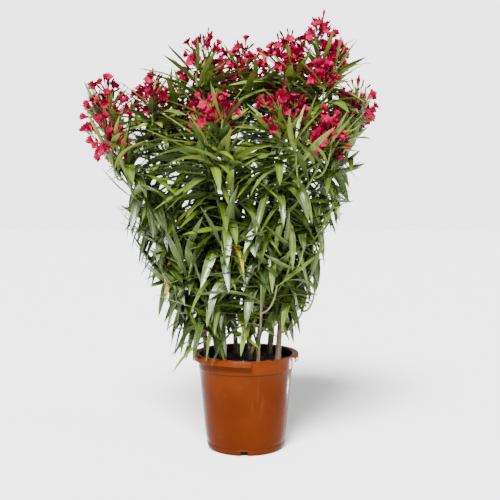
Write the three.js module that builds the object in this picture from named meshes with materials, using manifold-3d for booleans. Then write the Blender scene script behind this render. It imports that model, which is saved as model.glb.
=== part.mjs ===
// A potted oleander: eight stems grow from one pot, fork into boughs, and end in leafy shoots with blossom.
// Millimetres, +Z up. The origin is the middle of the pot's flat underside, and the photographed front is -Y.
// Bearings are in degrees from +X, counterclockwise seen from above.

import * as THREE from 'three';
import { mergeVertices } from 'three/addons/utils/BufferGeometryUtils.js';
import Module from 'manifold-3d';

const wasm = await Module();
wasm.setup();

// Clearance where two pieces meet, and the least that a seat may have after rounding
const SEAT_GAP = 0.3;
const LEAST_GAP = 0.285;

// The pot
const POT_HEIGHT = 268;
const RIM_RADIUS = 150;
const LIP_DEPTH = 16;
const WALL = 3;
const WALL_TOP_RADIUS = 133.5;
const COLLAR_DEPTH = 42;
const COLLAR_STEP = 1.6;
const COLLAR_TAPER = 0.5;
const LIP_ROUNDING = 1.8;
const FOOT_TOP = 40;
const FOOT_TOP_RADIUS = 114;
const FOOT_RADIUS = 109;
const FOOT_EDGE = 8;
const FOOT_ROUNDING = 0.3;
const BEAD_HEIGHT = 15;
const BEAD_PROUD = 1.2;
const FLOOR_THICKNESS = 4;
const POT_SIDES = 32;

// The stretch of the rim, in degrees, where the rolled lip is torn off the wall
const TEAR_FROM = -84.375;
const TEAR_STEPS = 11;
const TEAR_CLEAR = 0.7;
const TEAR_REACH = 20;

// The drainage notches where the wall meets the floor
const NOTCH_COUNT = 4;
const NOTCH_WIDTH = 19;
const NOTCH_HEIGHT = 13;
const NOTCH_DEPTH = 16;
const FIRST_NOTCH = -92;

// The soil
const SOIL_LEVEL = 246;

// The stems and boughs
const STEM_SIDES = 7;
const STEM_RINGS = 8;
const STEM_FOOT_RADIUS = 6.6;
const STEM_TOP_SHARE = 0.78;
const STEM_LEAN = 0.62;
const FLARE_RINGS = 1.4;
const FLARE = 0.5;
const FLARE_LENGTH = 0.05;
const BOUGH_SIDES = 5;
const BOUGH_RINGS = 4;
const BOUGH_RADIUS = 3.7;
const BOUGH_TOP_SHARE = 0.8;
const BOUGH_SHARE = 0.34;
const HEAD_BEND = 0.3;
const LOW_BEND = 0.5;

// The shoots: three-sided twigs with leaves in threes, each three turned half a step from the last
const TWIG_RADIUS = 3.9;
const TWIG_TIP_RADIUS = 2.9;
const AXIS_POINTS = 12;
const SIDE_TWIG_LENGTH = 135;
const SIDE_TWIG_RANGE = [0.9, 1.2];
const SIDE_TWIG_SHARE = 0.55;
const SIDE_TWIG_WAY = { out: 0.45, up: 0.85 };
const SIDE_TWIG_BEND = { out: 0.35, up: 0.1 };
const TWIG_SIDES = 3;
const NODE_DEPTH = 5;
const TOP_LEAVES = { whorls: 8, from: 0.05, to: 0.97, oldest: 1 };
const FLOWERING_LEAVES = { whorls: 8, from: 0.05, to: 0.83, oldest: 1 };
const LOW_LEAVES = { whorls: 7, from: 0.05, to: 0.97, oldest: 1 };
const SIDE_LEAVES = { whorls: 3, from: 0.4, to: 0.96, oldest: 0.5 };
const TRIES = 12;
const TRY_SPREAD = 0.35;
const TRY_SIZE = 0.96;

// The leaves
const LEAF_LENGTH = 186;
const LEAF_WIDTH = 30;
const LEAF_THICKNESS = 1 / 48;
const LEAF_FOLD = 0.22;
const LEAF_FORWARD = 0.7;
const LEAF_TILT = 25;
const YOUNG_LEAF = { rootSlope: 56, tipSlope: 46 };
const OLD_LEAF = { rootSlope: 30, tipSlope: -56 };
const LOW_DROOP = { rootSlope: 20, tipSlope: 22 };
const LEAF_STRAY = { bearing: 18, rootSlope: 10, tipSlope: 14, roll: 22 };
const LENGTH_RANGE = [0.88, 1.08];
const WIDTH_RANGE = [0.85, 1.1];
const LEAST_SIZE = 0.72;
const LEAF_ROUNDING = 0.8;
const AGE_EASING = 0.8;
const STRAIGHT_SECTIONS = [0.45];
const BENT_SECTIONS = [0.32, 0.68];
const BENT_FROM = 1;
const ROOT_SHARE = 0.3;
const SHOOT_SPACE = 220;

// The blossom: whorls of open flowers and buds that close up at the top of a shoot
const BLOOM_RADIUS = 19;
const BLOOM_REACH = 58;
const BLOOM_CUP = 11;
const BLOSSOM_SPACING = 9;
const BLOSSOM_TOP = 0.985;
const BLOSSOM_SLOPES = [16, 50, 74];
const BLOSSOM_STRAY = { bearing: 12, slope: 8 };
const REACH_RANGE = [0.92, 1.12];
const BUD_LENGTH = 64;
const BUD_WIDTH = 11;
const BUD_BEND = 6;

// The crown's middle, and how far it reaches at each height
const CROWN_MIDDLE = { x: -32, y: 10 };
const CROWN_DEPTH_SHARE = 0.9;
const CROWN_REACH = [[180, 165], [300, 195], [420, 245], [700, 345], [900, 425], [1010, 432], [1200, 300]];

// Each stem: its foot and thickness, the height where it forks, one head for each bough, and its low shoots.
// A foot is [bearing, distance from the pot's middle].
// A head is [bearing, distance from the pot's middle, height, open flowers, whether it has blossom].
// A low shoot is [bearing, share of the stem's length, reach, rise].
const STEMS = [
  {
    name: 'front', foot: [219, 76], thickness: 0.82, fork: 575,
    heads: [[231, 152, 955, 6, true], [257, 150, 805, 0, false]],
    low: [[240, 0.2, 92, 130], [205, 0.45, 105, 150], [288, 0.66, 88, 150]],
  },
  {
    name: 'front_right', foot: [290, 100], thickness: 0.7, fork: 560,
    heads: [[304, 162, 968, 6, true], [324, 250, 905, 5, true]],
    low: [[272, 0.3, 82, 140], [322, 0.6, 95, 150]],
  },
  {
    name: 'right', foot: [332, 102], thickness: 1.15, fork: 585,
    heads: [[6, 208, 1178, 6, true], [0, 308, 1010, 6, true]],
    low: [[338, 0.25, 82, 145], [12, 0.58, 95, 165]],
  },
  {
    name: 'left', foot: [178, 112], thickness: 1.05, fork: 575,
    heads: [[185, 378, 1010, 6, true], [166, 272, 1030, 6, true], [198, 385, 900, 5, true]],
    low: [[215, 0.25, 95, 140], [176, 0.55, 105, 160]],
  },
  {
    name: 'left_inner', foot: [150, 84], thickness: 0.95, fork: 600,
    heads: [[144, 226, 1050, 2, true], [158, 125, 1140, 6, true]],
    low: [[152, 0.3, 112, 150], [215, 0.68, 90, 150]],
  },
  {
    name: 'back_left', foot: [108, 96], thickness: 1, fork: 545,
    heads: [[104, 272, 1062, 6, true], [139, 318, 975, 6, true]],
    low: [[122, 0.25, 105, 145], [92, 0.58, 112, 160]],
  },
  {
    name: 'back_right', foot: [48, 104], thickness: 1, fork: 560,
    heads: [[62, 276, 1076, 6, true], [28, 336, 985, 6, true]],
    low: [[56, 0.25, 100, 145], [30, 0.58, 105, 165]],
  },
  {
    name: 'middle', foot: [56, 16], thickness: 1, fork: 620,
    heads: [[94, 112, 1125, 3, true], [24, 122, 1140, 6, true]],
    low: [],
  },
];

// The seeded numbers
const MODULUS = 2147483647;
const MULTIPLIER = 48271;
const SEED_STEP = 7919;
const SEED_START = 17;

// The finishes
const POT_FINISH = new THREE.MeshStandardMaterial({ color: 0xa5522c, roughness: 0.42, metalness: 0 });
const SOIL_FINISH = new THREE.MeshStandardMaterial({ color: 0x2a1d14, roughness: 0.95, metalness: 0 });
const BARK_FINISH = new THREE.MeshStandardMaterial({ color: 0x6f5a42, roughness: 0.85, metalness: 0 });
const LEAF_FINISH = new THREE.MeshStandardMaterial({ color: 0x3f6b35, roughness: 0.5, metalness: 0 });

const UP = new THREE.Vector3(0, 0, 1);
const plant = new THREE.Group();

function radians(degrees) {
  return degrees * Math.PI / 180;
}

function mix(from, to, share) {
  return from + (to - from) * share;
}

// A point at a bearing and distance from the pot's axis
function polar(bearing, distance, height) {
  const angle = radians(bearing);
  return new THREE.Vector3(distance * Math.cos(angle), distance * Math.sin(angle), height);
}

function bearingOf(way) {
  return Math.atan2(way.y, way.x) * 180 / Math.PI;
}

// A repeatable run of numbers from 0 to 1, one run for each seed
function seeded(seed) {
  let state = (seed * SEED_STEP + SEED_START) % MODULUS;
  return () => {
    state = (state * MULTIPLIER) % MODULUS;
    return state / MODULUS;
  };
}

function spread(random, amount) {
  return (random() * 2 - 1) * amount;
}

// A geometry with shared corners, which is what a boolean needs
function joined(geometry) {
  geometry.deleteAttribute('normal');
  geometry.deleteAttribute('uv');
  return mergeVertices(geometry, 1e-4);
}

function solidOf(geometry) {
  return new wasm.Manifold(new wasm.Mesh({
    numProp: 3,
    vertProperties: Float32Array.from(geometry.attributes.position.array),
    triVerts: Uint32Array.from(geometry.index.array),
  }));
}

function geometryOf(solid) {
  const mesh = solid.getMesh();
  const geometry = new THREE.BufferGeometry();
  geometry.setAttribute('position', new THREE.BufferAttribute(mesh.vertProperties, 3));
  geometry.setIndex(new THREE.BufferAttribute(mesh.triVerts, 1));
  geometry.computeVertexNormals();
  return geometry;
}

function addPiece(name, geometry, finish) {
  const mesh = new THREE.Mesh(geometry, finish);
  mesh.name = name;
  plant.add(mesh);
}

// The pot's wall, lip and floor, turned about its axis and opened by the drainage notches
function potSolid() {
  const lipInner = RIM_RADIUS - WALL;
  const lipFoot = POT_HEIGHT - LIP_DEPTH;
  const collarFoot = POT_HEIGHT - COLLAR_DEPTH;
  const collarRadius = WALL_TOP_RADIUS - COLLAR_TAPER;
  const footInset = FOOT_EDGE * FOOT_ROUNDING;
  const profile = [
    [0, 0],
    [FOOT_RADIUS - FOOT_EDGE, 0],
    [FOOT_RADIUS - footInset, footInset],
    [FOOT_RADIUS, FOOT_EDGE],
    [FOOT_RADIUS + BEAD_PROUD, BEAD_HEIGHT],
    [FOOT_RADIUS + BEAD_PROUD / 2, BEAD_HEIGHT + WALL],
    [FOOT_TOP_RADIUS, FOOT_TOP],
    [collarRadius - COLLAR_STEP, collarFoot],
    [collarRadius, collarFoot + COLLAR_STEP],
    [WALL_TOP_RADIUS, POT_HEIGHT - WALL * 2],
    [lipInner, POT_HEIGHT - WALL - LIP_ROUNDING],
    [lipInner, lipFoot],
    [RIM_RADIUS, lipFoot],
    [RIM_RADIUS, POT_HEIGHT - WALL],
    [RIM_RADIUS - WALL, POT_HEIGHT],
    [WALL_TOP_RADIUS, POT_HEIGHT],
    [WALL_TOP_RADIUS - WALL, POT_HEIGHT - WALL],
    [collarRadius - COLLAR_STEP - WALL, collarFoot],
    [FOOT_TOP_RADIUS - WALL, FOOT_TOP],
    [FOOT_RADIUS - WALL - LIP_ROUNDING, FLOOR_THICKNESS + FOOT_EDGE],
    [FOOT_RADIUS - FOOT_EDGE, FLOOR_THICKNESS],
    [0, FLOOR_THICKNESS],
  ];
  return notched(torn(turned(profile)));
}

// A closed profile of [radius, height] points turned about the vertical axis
function turned(profile) {
  const points = profile.map(([radius, height]) => new THREE.Vector2(radius, height));
  const lathe = new THREE.LatheGeometry(points, POT_SIDES);
  lathe.rotateX(Math.PI / 2);
  return solidOf(joined(lathe));
}

// A point on one of the flat sides that make up a turned wall
function onSides(bearing, radius) {
  const half = 180 / POT_SIDES;
  const fromMiddle = (bearing + 360) % (half * 2) - half;
  const reach = radius * Math.cos(radians(half)) / Math.cos(radians(fromMiddle));
  return new THREE.Vector2(reach * Math.cos(radians(bearing)), reach * Math.sin(radians(bearing)));
}

// The lip is cut away just outside of the wall, from its foot to above its top
function torn(pot) {
  const inner = [];
  const outer = [];
  for (let i = 0; i <= TEAR_STEPS; i += 1) {
    const bearing = TEAR_FROM + i * 180 / POT_SIDES;
    inner.push(onSides(bearing, WALL_TOP_RADIUS + TEAR_CLEAR));
    outer.push(onSides(bearing, RIM_RADIUS + TEAR_REACH));
  }
  const shape = new THREE.Shape([...outer, ...inner.reverse()]);
  const depth = LIP_DEPTH + WALL * 2;
  const sector = new THREE.ExtrudeGeometry(shape, { depth, bevelEnabled: false });
  sector.translate(0, 0, POT_HEIGHT - LIP_DEPTH - WALL);
  return pot.subtract(solidOf(joined(sector)));
}

function notched(pot) {
  let cut = pot;
  const reach = FOOT_RADIUS - NOTCH_DEPTH / 2 + WALL;
  for (let i = 0; i < NOTCH_COUNT; i += 1) {
    const block = new THREE.BoxGeometry(NOTCH_DEPTH, NOTCH_WIDTH, NOTCH_HEIGHT * 2);
    block.translate(reach, 0, 0);
    block.rotateZ(radians(FIRST_NOTCH + i * 360 / NOTCH_COUNT));
    cut = cut.subtract(solidOf(joined(block)));
  }
  return cut;
}

// The soil fills the pot up to its level, clear of the wall all round
function soilSolid() {
  const collarFoot = POT_HEIGHT - COLLAR_DEPTH;
  const gap = SEAT_GAP;
  const collarInner = WALL_TOP_RADIUS - COLLAR_TAPER - COLLAR_STEP - WALL;
  const wallRise = (SOIL_LEVEL - collarFoot) / (COLLAR_DEPTH - WALL);
  const profile = [
    [0, FLOOR_THICKNESS + gap],
    [FOOT_RADIUS - FOOT_EDGE - gap, FLOOR_THICKNESS + gap],
    [FOOT_RADIUS - WALL - LIP_ROUNDING - gap, FLOOR_THICKNESS + FOOT_EDGE + gap],
    [FOOT_TOP_RADIUS - WALL - gap, FOOT_TOP],
    [collarInner - gap, collarFoot],
    [mix(collarInner, WALL_TOP_RADIUS - WALL, wallRise) - gap, SOIL_LEVEL],
    [0, SOIL_LEVEL],
  ];
  return turned(profile);
}

// The level direction square to the way a curve leads, or to +X on an upright one
function levelAcross(curve) {
  const way = curve.getPoint(1).sub(curve.getPoint(0));
  const level = new THREE.Vector3(-way.y, way.x, 0);
  return level.length() > 1 ? level.normalize() : new THREE.Vector3(0, 1, 0);
}

// The direction square to a limb at an angle about it, counted from its level side
function squareTo(along, level, angle) {
  const side = level.clone().addScaledVector(along, -level.dot(along)).normalize();
  const lift = new THREE.Vector3().crossVectors(along, side);
  return side.multiplyScalar(Math.cos(angle)).addScaledVector(lift, Math.sin(angle));
}

// The corners of one cross-section of a limb, counterclockwise seen from its tip
function section(curve, share, radius, sides, turn) {
  const along = curve.getTangent(share);
  const centre = curve.getPoint(share);
  const level = levelAcross(curve);
  const corners = [];
  for (let i = 0; i < sides; i += 1) {
    const way = squareTo(along, level, turn + i * 2 * Math.PI / sides);
    corners.push(centre.clone().addScaledVector(way, radius));
  }
  return corners;
}

// A skin of triangles that grows ring by ring. A ring is a list of corner numbers.
class Skin {
  constructor() {
    this.corners = [];
    this.faces = [];
  }

  ring(points) {
    return points.map((point) => this.corners.push(point) - 1);
  }

  // Joins a ring to the next one, which has as many corners, twice as many, or only one
  bridge(lower, upper) {
    lower.forEach((here, i) => {
      const next = (i + 1) % lower.length;
      if (upper.length === 1) {
        this.faces.push([here, lower[next], upper[0]]);
      } else if (upper.length === lower.length) {
        this.faces.push([here, lower[next], upper[i]], [lower[next], upper[next], upper[i]]);
      } else {
        const between = upper[2 * i + 1];
        this.faces.push([here, lower[next], between], [here, between, upper[2 * i]]);
        this.faces.push([lower[next], upper[2 * next], between]);
      }
    });
  }

  // Grows on from a ring through rings of points
  loft(start, rings) {
    let last = start;
    for (const points of rings) {
      const ring = this.ring(points);
      this.bridge(last, ring);
      last = ring;
    }
    return last;
  }

  cap(ring) {
    for (let i = 2; i < ring.length; i += 1) {
      this.faces.push([ring[0], ring[i - 1], ring[i]]);
    }
  }

  size() {
    return { corners: this.corners.length, faces: this.faces.length };
  }

  // Takes off what grew after the skin had a size
  cutBack(size) {
    this.corners.length = size.corners;
    this.faces.length = size.faces;
  }

  boxOf(faces) {
    return new THREE.Box3().setFromPoints(faces.flat().map((corner) => this.corners[corner]));
  }

  // Whether an edge of one face passes through another face, away from the corners they share
  pierces(face, other) {
    const [a, b, c] = other.map((corner) => this.corners[corner]);
    return face.some((corner, i) => {
      const next = face[(i + 1) % 3];
      if (other.includes(corner) || other.includes(next)) {
        return false;
      }
      const from = this.corners[corner];
      const to = this.corners[next];
      const ray = new THREE.Ray(from, to.clone().sub(from).normalize());
      const met = ray.intersectTriangle(a, b, c, false, new THREE.Vector3());
      return met !== null && met.distanceTo(from) < to.distanceTo(from);
    });
  }

  // Whether what grew after a size passes through itself, the rest of the skin or the openings
  crossed(size, openings) {
    const fresh = this.faces.slice(size.faces);
    const around = this.boxOf(fresh);
    const old = [...this.faces.slice(0, size.faces), ...openings];
    const near = old.filter((face) => around.intersectsBox(this.boxOf([face])));
    return fresh.some((face, i) => (
      [...near, ...fresh.slice(0, i)].some((other) => (
        this.pierces(face, other) || this.pierces(other, face)
      ))
    ));
  }

  geometry() {
    const geometry = new THREE.BufferGeometry();
    geometry.setFromPoints(this.corners);
    geometry.setIndex(this.faces.flat());
    geometry.computeVertexNormals();
    return geometry;
  }
}

// A closed solid through a list of rings of points, capped where it ends in a ring
function lofted(rings) {
  const skin = new Skin();
  const start = skin.ring(rings[0]);
  skin.cap([...start].reverse());
  const end = skin.loft(start, rings.slice(1));
  skin.cap(end);
  return solidOf(skin.geometry());
}

// A closed rod along a curve, with its radius given for each share of its length
function rodSolid(curve, radiusAt, sides, rings) {
  const sections = [];
  for (let i = 0; i <= rings; i += 1) {
    sections.push(section(curve, i / rings, radiusAt(i / rings), sides, 0));
  }
  return lofted(sections);
}

function taperedRod(curve, startRadius, endRadius, sides, rings) {
  return rodSolid(curve, (share) => mix(startRadius, endRadius, share), sides, rings);
}

// A stem stands flat on the soil, flares at its root and tapers to its fork
function stemCurve(stem) {
  const foot = polar(stem.foot[0], stem.foot[1], SOIL_LEVEL + SEAT_GAP);
  const heads = stem.heads.map(([bearing, distance, height]) => polar(bearing, distance, height));
  const middle = heads.reduce((sum, head) => sum.add(head), new THREE.Vector3()).divideScalar(heads.length);
  const share = (stem.fork - SOIL_LEVEL) / (middle.z - SOIL_LEVEL);
  const fork = foot.clone().lerp(middle, share * STEM_LEAN);
  fork.z = stem.fork;
  const rise = (stem.fork - SOIL_LEVEL) / 3;
  const low = foot.clone().addScaledVector(UP, rise);
  const high = foot.clone().lerp(fork, 0.5);
  high.z = stem.fork - rise;
  return new THREE.CubicBezierCurve3(foot, low, high, fork);
}

function stemRadius(stem, share) {
  const root = STEM_FOOT_RADIUS * stem.thickness;
  return root * (mix(1, STEM_TOP_SHARE, share) + FLARE * Math.exp(-share / FLARE_LENGTH));
}

// The flare needs its rings close together at the foot
function stemSolid(stem, curve) {
  const sections = [];
  for (let i = 0; i <= STEM_RINGS; i += 1) {
    const share = (i / STEM_RINGS) ** FLARE_RINGS;
    sections.push(section(curve, share, stemRadius(stem, share), STEM_SIDES, 0));
  }
  return lofted(sections);
}

// The boughs of one fork start side by side on the stem's end, each turned towards its own head
function boughStarts(stem, curve) {
  const count = stem.heads.length;
  const end = curve.getPoint(1);
  const along = curve.getTangent(1);
  const level = levelAcross(curve);
  const side = squareTo(along, level, 0);
  const lift = squareTo(along, level, Math.PI / 2);
  const turns = stem.heads.map(([bearing, distance, height], index) => {
    const way = polar(bearing, distance, height).sub(end);
    return { index, angle: Math.atan2(way.dot(lift), way.dot(side)) };
  });
  turns.sort((a, b) => a.angle - b.angle);
  const step = 2 * Math.PI / count;
  const sine = turns.reduce((sum, turn, order) => sum + Math.sin(turn.angle - order * step), 0);
  const cosine = turns.reduce((sum, turn, order) => sum + Math.cos(turn.angle - order * step), 0);
  const phase = Math.atan2(sine, cosine);
  const offset = (BOUGH_RADIUS + SEAT_GAP) / Math.sin(Math.PI / count);
  const starts = [];
  turns.forEach((turn, order) => {
    starts[turn.index] = end.clone()
      .addScaledVector(along, SEAT_GAP)
      .addScaledVector(squareTo(along, level, phase + order * step), offset);
  });
  return starts;
}

// The whole way from a fork to a head: a bough below, and the shoot above it
function headCurve(start, along, head) {
  const place = polar(head[0], head[1], head[2] - BLOOM_REACH);
  const length = start.distanceTo(place);
  const lower = start.clone().addScaledVector(along, length * HEAD_BEND);
  const upper = place.clone().addScaledVector(UP, -length * HEAD_BEND);
  return new THREE.CubicBezierCurve3(start, lower, upper, place);
}

// One stretch of a curve, smooth at both ends
function stretch(curve, from, to, shift) {
  const start = curve.getPoint(from);
  const end = curve.getPoint(to);
  const length = start.distanceTo(end) / 3;
  start.addScaledVector(curve.getTangent(from), shift);
  const lower = start.clone().addScaledVector(curve.getTangent(from), length);
  const upper = end.clone().addScaledVector(curve.getTangent(to), -length);
  return new THREE.CubicBezierCurve3(start, lower, upper, end);
}

// A low shoot leaves its stem square to the bark and turns upwards
function lowCurve(stem, curve, solid, [bearing, share, reach, rise]) {
  const outward = polar(bearing, 1, 0);
  const centre = curve.getPoint(share);
  const start = centre.clone().addScaledVector(outward, stemRadius(stem, share) + TWIG_RADIUS);
  const beyond = start.clone().addScaledVector(outward, TWIG_RADIUS);
  const probe = taperedRod(new THREE.LineCurve3(start, beyond), TWIG_RADIUS, TWIG_RADIUS, TWIG_SIDES, 1);
  start.addScaledVector(outward, SEAT_GAP - probe.minGap(solid, TWIG_RADIUS * 3));
  const end = centre.clone().addScaledVector(outward, reach).addScaledVector(UP, rise);
  const lower = start.clone().addScaledVector(outward, reach * LOW_BEND);
  const upper = end.clone().addScaledVector(UP, -rise * LOW_BEND);
  return new THREE.CubicBezierCurve3(start, lower, upper, end);
}

// The nodes of a twig: where each is, and how old its leaves are
function leafNodes({ whorls, from, to, oldest }) {
  const nodes = [];
  for (let i = 0; i < whorls; i += 1) {
    const up = i / (whorls - 1);
    nodes.push({ share: mix(from, to, up), age: oldest * (1 - up), kind: 'leaf' });
  }
  return nodes;
}

function blossomNodes(length) {
  const last = BLOSSOM_SLOPES.length - 1;
  return BLOSSOM_SLOPES.map((slope, level) => ({
    share: BLOSSOM_TOP - (last - level) * BLOSSOM_SPACING / length, slope, level, kind: 'blossom',
  }));
}

// A twig's rings: two close together at each node, turned half a step from the node before
function twigRings(curve, nodes, turn, radiusAt) {
  const reach = NODE_DEPTH / 2 / curve.getLength();
  return nodes.flatMap((node, index) => [-reach, reach].map((step) => {
    const share = node.share + step;
    return section(curve, share, radiusAt(share), TWIG_SIDES, turn + index * Math.PI / TWIG_SIDES);
  }));
}

// The places on a twig where something can grow: one triangle on each side of each node
function growthPlaces(skin, start, rings, nodes, curve, turn) {
  const places = [];
  let last = start;
  nodes.forEach((node, index) => {
    const lower = skin.ring(rings[2 * index]);
    const upper = skin.ring(rings[2 * index + 1]);
    skin.bridge(last, lower);
    for (let i = 0; i < TWIG_SIDES; i += 1) {
      const next = (i + 1) % TWIG_SIDES;
      const angle = turn + (index + 2 * i + 1) * Math.PI / TWIG_SIDES;
      const along = curve.getTangent(node.share);
      skin.faces.push([lower[i], lower[next], upper[i]]);
      places.push({
        node,
        side: i,
        along,
        ring: [upper[next], upper[i], lower[next]],
        outward: squareTo(along, levelAcross(curve), angle),
      });
    }
    last = upper;
  });
  skin.cap(last);
  return places;
}

// A leaf's cross-sections and its tip. It bends from its first slope to its last.
// It is three-sided: two edges and a keel.
function leafRings(root, leaf) {
  const bend = leaf.tipSlope - leaf.rootSlope;
  const outward = polar(leaf.bearing, 1, 0);
  const level = polar(leaf.bearing + 90, 1, 0);
  const sections = Math.abs(bend) > BENT_FROM ? BENT_SECTIONS : STRAIGHT_SECTIONS;
  return [...sections, 1].map((share) => {
    const slope = leaf.rootSlope + bend * share;
    const run = leaf.length * (Math.sin(slope) - Math.sin(leaf.rootSlope)) / bend;
    const climb = leaf.length * (Math.cos(leaf.rootSlope) - Math.cos(slope)) / bend;
    const face = outward.clone().multiplyScalar(-Math.sin(slope)).addScaledVector(UP, Math.cos(slope));
    const cosine = Math.cos(leaf.roll);
    const sine = Math.sin(leaf.roll);
    const across = level.clone().multiplyScalar(cosine).addScaledVector(face, sine);
    const normal = face.clone().multiplyScalar(cosine).addScaledVector(level, -sine);
    const spine = root.clone().addScaledVector(outward, run).addScaledVector(UP, climb);
    if (share === 1) {
      return [spine];
    }
    const half = leaf.width / 2 * Math.sin(Math.PI * share ** LEAF_ROUNDING);
    const edges = spine.clone().addScaledVector(normal, half * LEAF_FOLD);
    return [
      edges.clone().addScaledVector(across, half),
      edges.clone().addScaledVector(across, -half),
      spine.clone().addScaledVector(normal, -leaf.thickness),
    ];
  });
}

// Leaves are largest a little below the middle of their twig
function leafSize(age) {
  return mix(LEAST_SIZE, 1, Math.sin(Math.PI * mix(0.2, 0.75, age)));
}

// Leaves lean forward along their twig. Old ones hang, and young ones stand up.
// Each further try strays more and is a little shorter.
function newLeaf(place, shoot, attempt) {
  const { random, droop } = shoot;
  const { age } = place.node;
  const stray = 1 + attempt * TRY_SPREAD;
  const way = place.outward.clone().addScaledVector(place.along, LEAF_FORWARD);
  const size = leafSize(age) * TRY_SIZE ** attempt;
  const eased = age ** AGE_EASING;
  const length = LEAF_LENGTH * size * mix(...LENGTH_RANGE, random());
  const rootSlope = mix(YOUNG_LEAF.rootSlope, OLD_LEAF.rootSlope, age) - droop * LOW_DROOP.rootSlope;
  const tipSlope = mix(YOUNG_LEAF.tipSlope, OLD_LEAF.tipSlope, eased) - droop * LOW_DROOP.tipSlope;
  const tilt = LEAF_TILT * place.outward.z;
  return {
    bearing: bearingOf(way) + spread(random, LEAF_STRAY.bearing * stray),
    rootSlope: radians(rootSlope + tilt + spread(random, LEAF_STRAY.rootSlope * stray)),
    tipSlope: radians(tipSlope + spread(random, LEAF_STRAY.tipSlope * stray)),
    length,
    width: LEAF_WIDTH * size * mix(...WIDTH_RANGE, random()),
    roll: radians(spread(random, LEAF_STRAY.roll)),
    thickness: length * LEAF_THICKNESS,
  };
}

// An open flower: a six-sided funnel with a hollow mouth
function bloomRings(root, bearing, slope, reach) {
  const along = polar(bearing, Math.cos(slope), Math.sin(slope));
  const mouth = new THREE.LineCurve3(root, root.clone().addScaledVector(along, reach));
  const throat = root.clone().addScaledVector(along, reach - BLOOM_CUP);
  return [section(mouth, 1, BLOOM_RADIUS, TWIG_SIDES * 2, Math.PI / 6), [throat]];
}

function budRings(root, bearing, slope) {
  return leafRings(root, {
    bearing,
    rootSlope: slope,
    tipSlope: slope + radians(BUD_BEND),
    length: BUD_LENGTH,
    width: BUD_WIDTH,
    roll: 0,
    thickness: BUD_WIDTH / 2,
  });
}

// The lower places of a head open first. The rest are buds.
function blossomRings(root, place, shoot) {
  const { random } = shoot;
  const { level, slope } = place.node;
  const rank = level * TWIG_SIDES + place.side;
  const bearing = bearingOf(place.outward) + spread(random, BLOSSOM_STRAY.bearing);
  const tilt = radians(slope + spread(random, BLOSSOM_STRAY.slope));
  if (rank < shoot.blooms) {
    return bloomRings(root, bearing, tilt, BLOOM_REACH * mix(...REACH_RANGE, random()));
  }
  return budRings(root, bearing, tilt);
}

// How far the crown reaches at a height
function crownReach(height) {
  const upper = CROWN_REACH.findIndex(([level]) => level >= height);
  if (upper < 1) {
    return 0;
  }
  const [lowLevel, lowReach] = CROWN_REACH[upper - 1];
  const [highLevel, highReach] = CROWN_REACH[upper];
  return mix(lowReach, highReach, (height - lowLevel) / (highLevel - lowLevel));
}

// A point keeps to its shoot's space if it is near the shoot and inside the crown
function inSpace(point, shoot) {
  const x = point.x - CROWN_MIDDLE.x;
  const y = (point.y - CROWN_MIDDLE.y) / CROWN_DEPTH_SHARE;
  const near = Math.min(...shoot.axis.map((other) => other.distanceTo(point)));
  return Math.hypot(x, y) < crownReach(point.z) && near < SHOOT_SPACE;
}

function boxesMeet(a, b) {
  for (let i = 0; i < 3; i += 1) {
    if (a.min[i] > b.max[i] + SEAT_GAP || b.min[i] > a.max[i] + SEAT_GAP) {
      return false;
    }
  }
  return true;
}

// Every solid that has been placed, with the name of its node, and its part beyond its root
const placed = [];

function keep(owner, solid, free) {
  placed.push({ owner, solid, free, box: solid.boundingBox() });
}

// The first solid that a new one would touch, apart from those of its own node beside its root
function touched(owner, solid, free) {
  const box = solid.boundingBox();
  return placed.find((other) => {
    if (!boxesMeet(other.box, box)) {
      return false;
    }
    if (other.owner !== owner) {
      return other.solid.minGap(solid, SEAT_GAP) < LEAST_GAP;
    }
    return other.free.minGap(free, SEAT_GAP) < SEAT_GAP;
  });
}

// The rings of a piece that starts a little way out from its root
function beyondRoot(rings) {
  const [root, next] = rings;
  const step = next.length / root.length;
  const first = root.map((corner, i) => corner.clone().lerp(next[i * step], ROOT_SHARE));
  return [first, ...rings.slice(1)];
}

// Grows a shoot's skin from a place, and takes the growth off again if it passes through the skin
function grownClear(shoot, place, grow) {
  const size = shoot.skin.size();
  const openings = shoot.places.filter((other) => other !== place).map((other) => other.ring);
  const grown = grow();
  if (shoot.skin.crossed(size, openings)) {
    shoot.skin.cutBack(size);
    return null;
  }
  place.grown = true;
  return grown;
}

// Grows a piece from a place, unless each try would leave the shoot's space or touch something
function growAt(shoot, place, ringsOf) {
  const corners = place.ring.map((corner) => shoot.skin.corners[corner]);
  const root = corners[0].clone().lerp(corners[1], 0.5);
  for (let i = 0; i < TRIES && !place.grown; i += 1) {
    const rings = ringsOf(root, i);
    if (rings.flat().every((point) => inSpace(point, shoot))) {
      const solid = lofted([corners, ...rings]);
      const free = lofted(beyondRoot([corners, ...rings]));
      const clear = !touched(shoot.name, solid, free);
      if (clear && grownClear(shoot, place, () => shoot.skin.loft(place.ring, rings))) {
        keep(shoot.name, solid, free);
      }
    }
  }
}

function growLeaf(shoot, place) {
  growAt(shoot, place, (root, attempt) => leafRings(root, newLeaf(place, shoot, attempt)));
}

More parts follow.
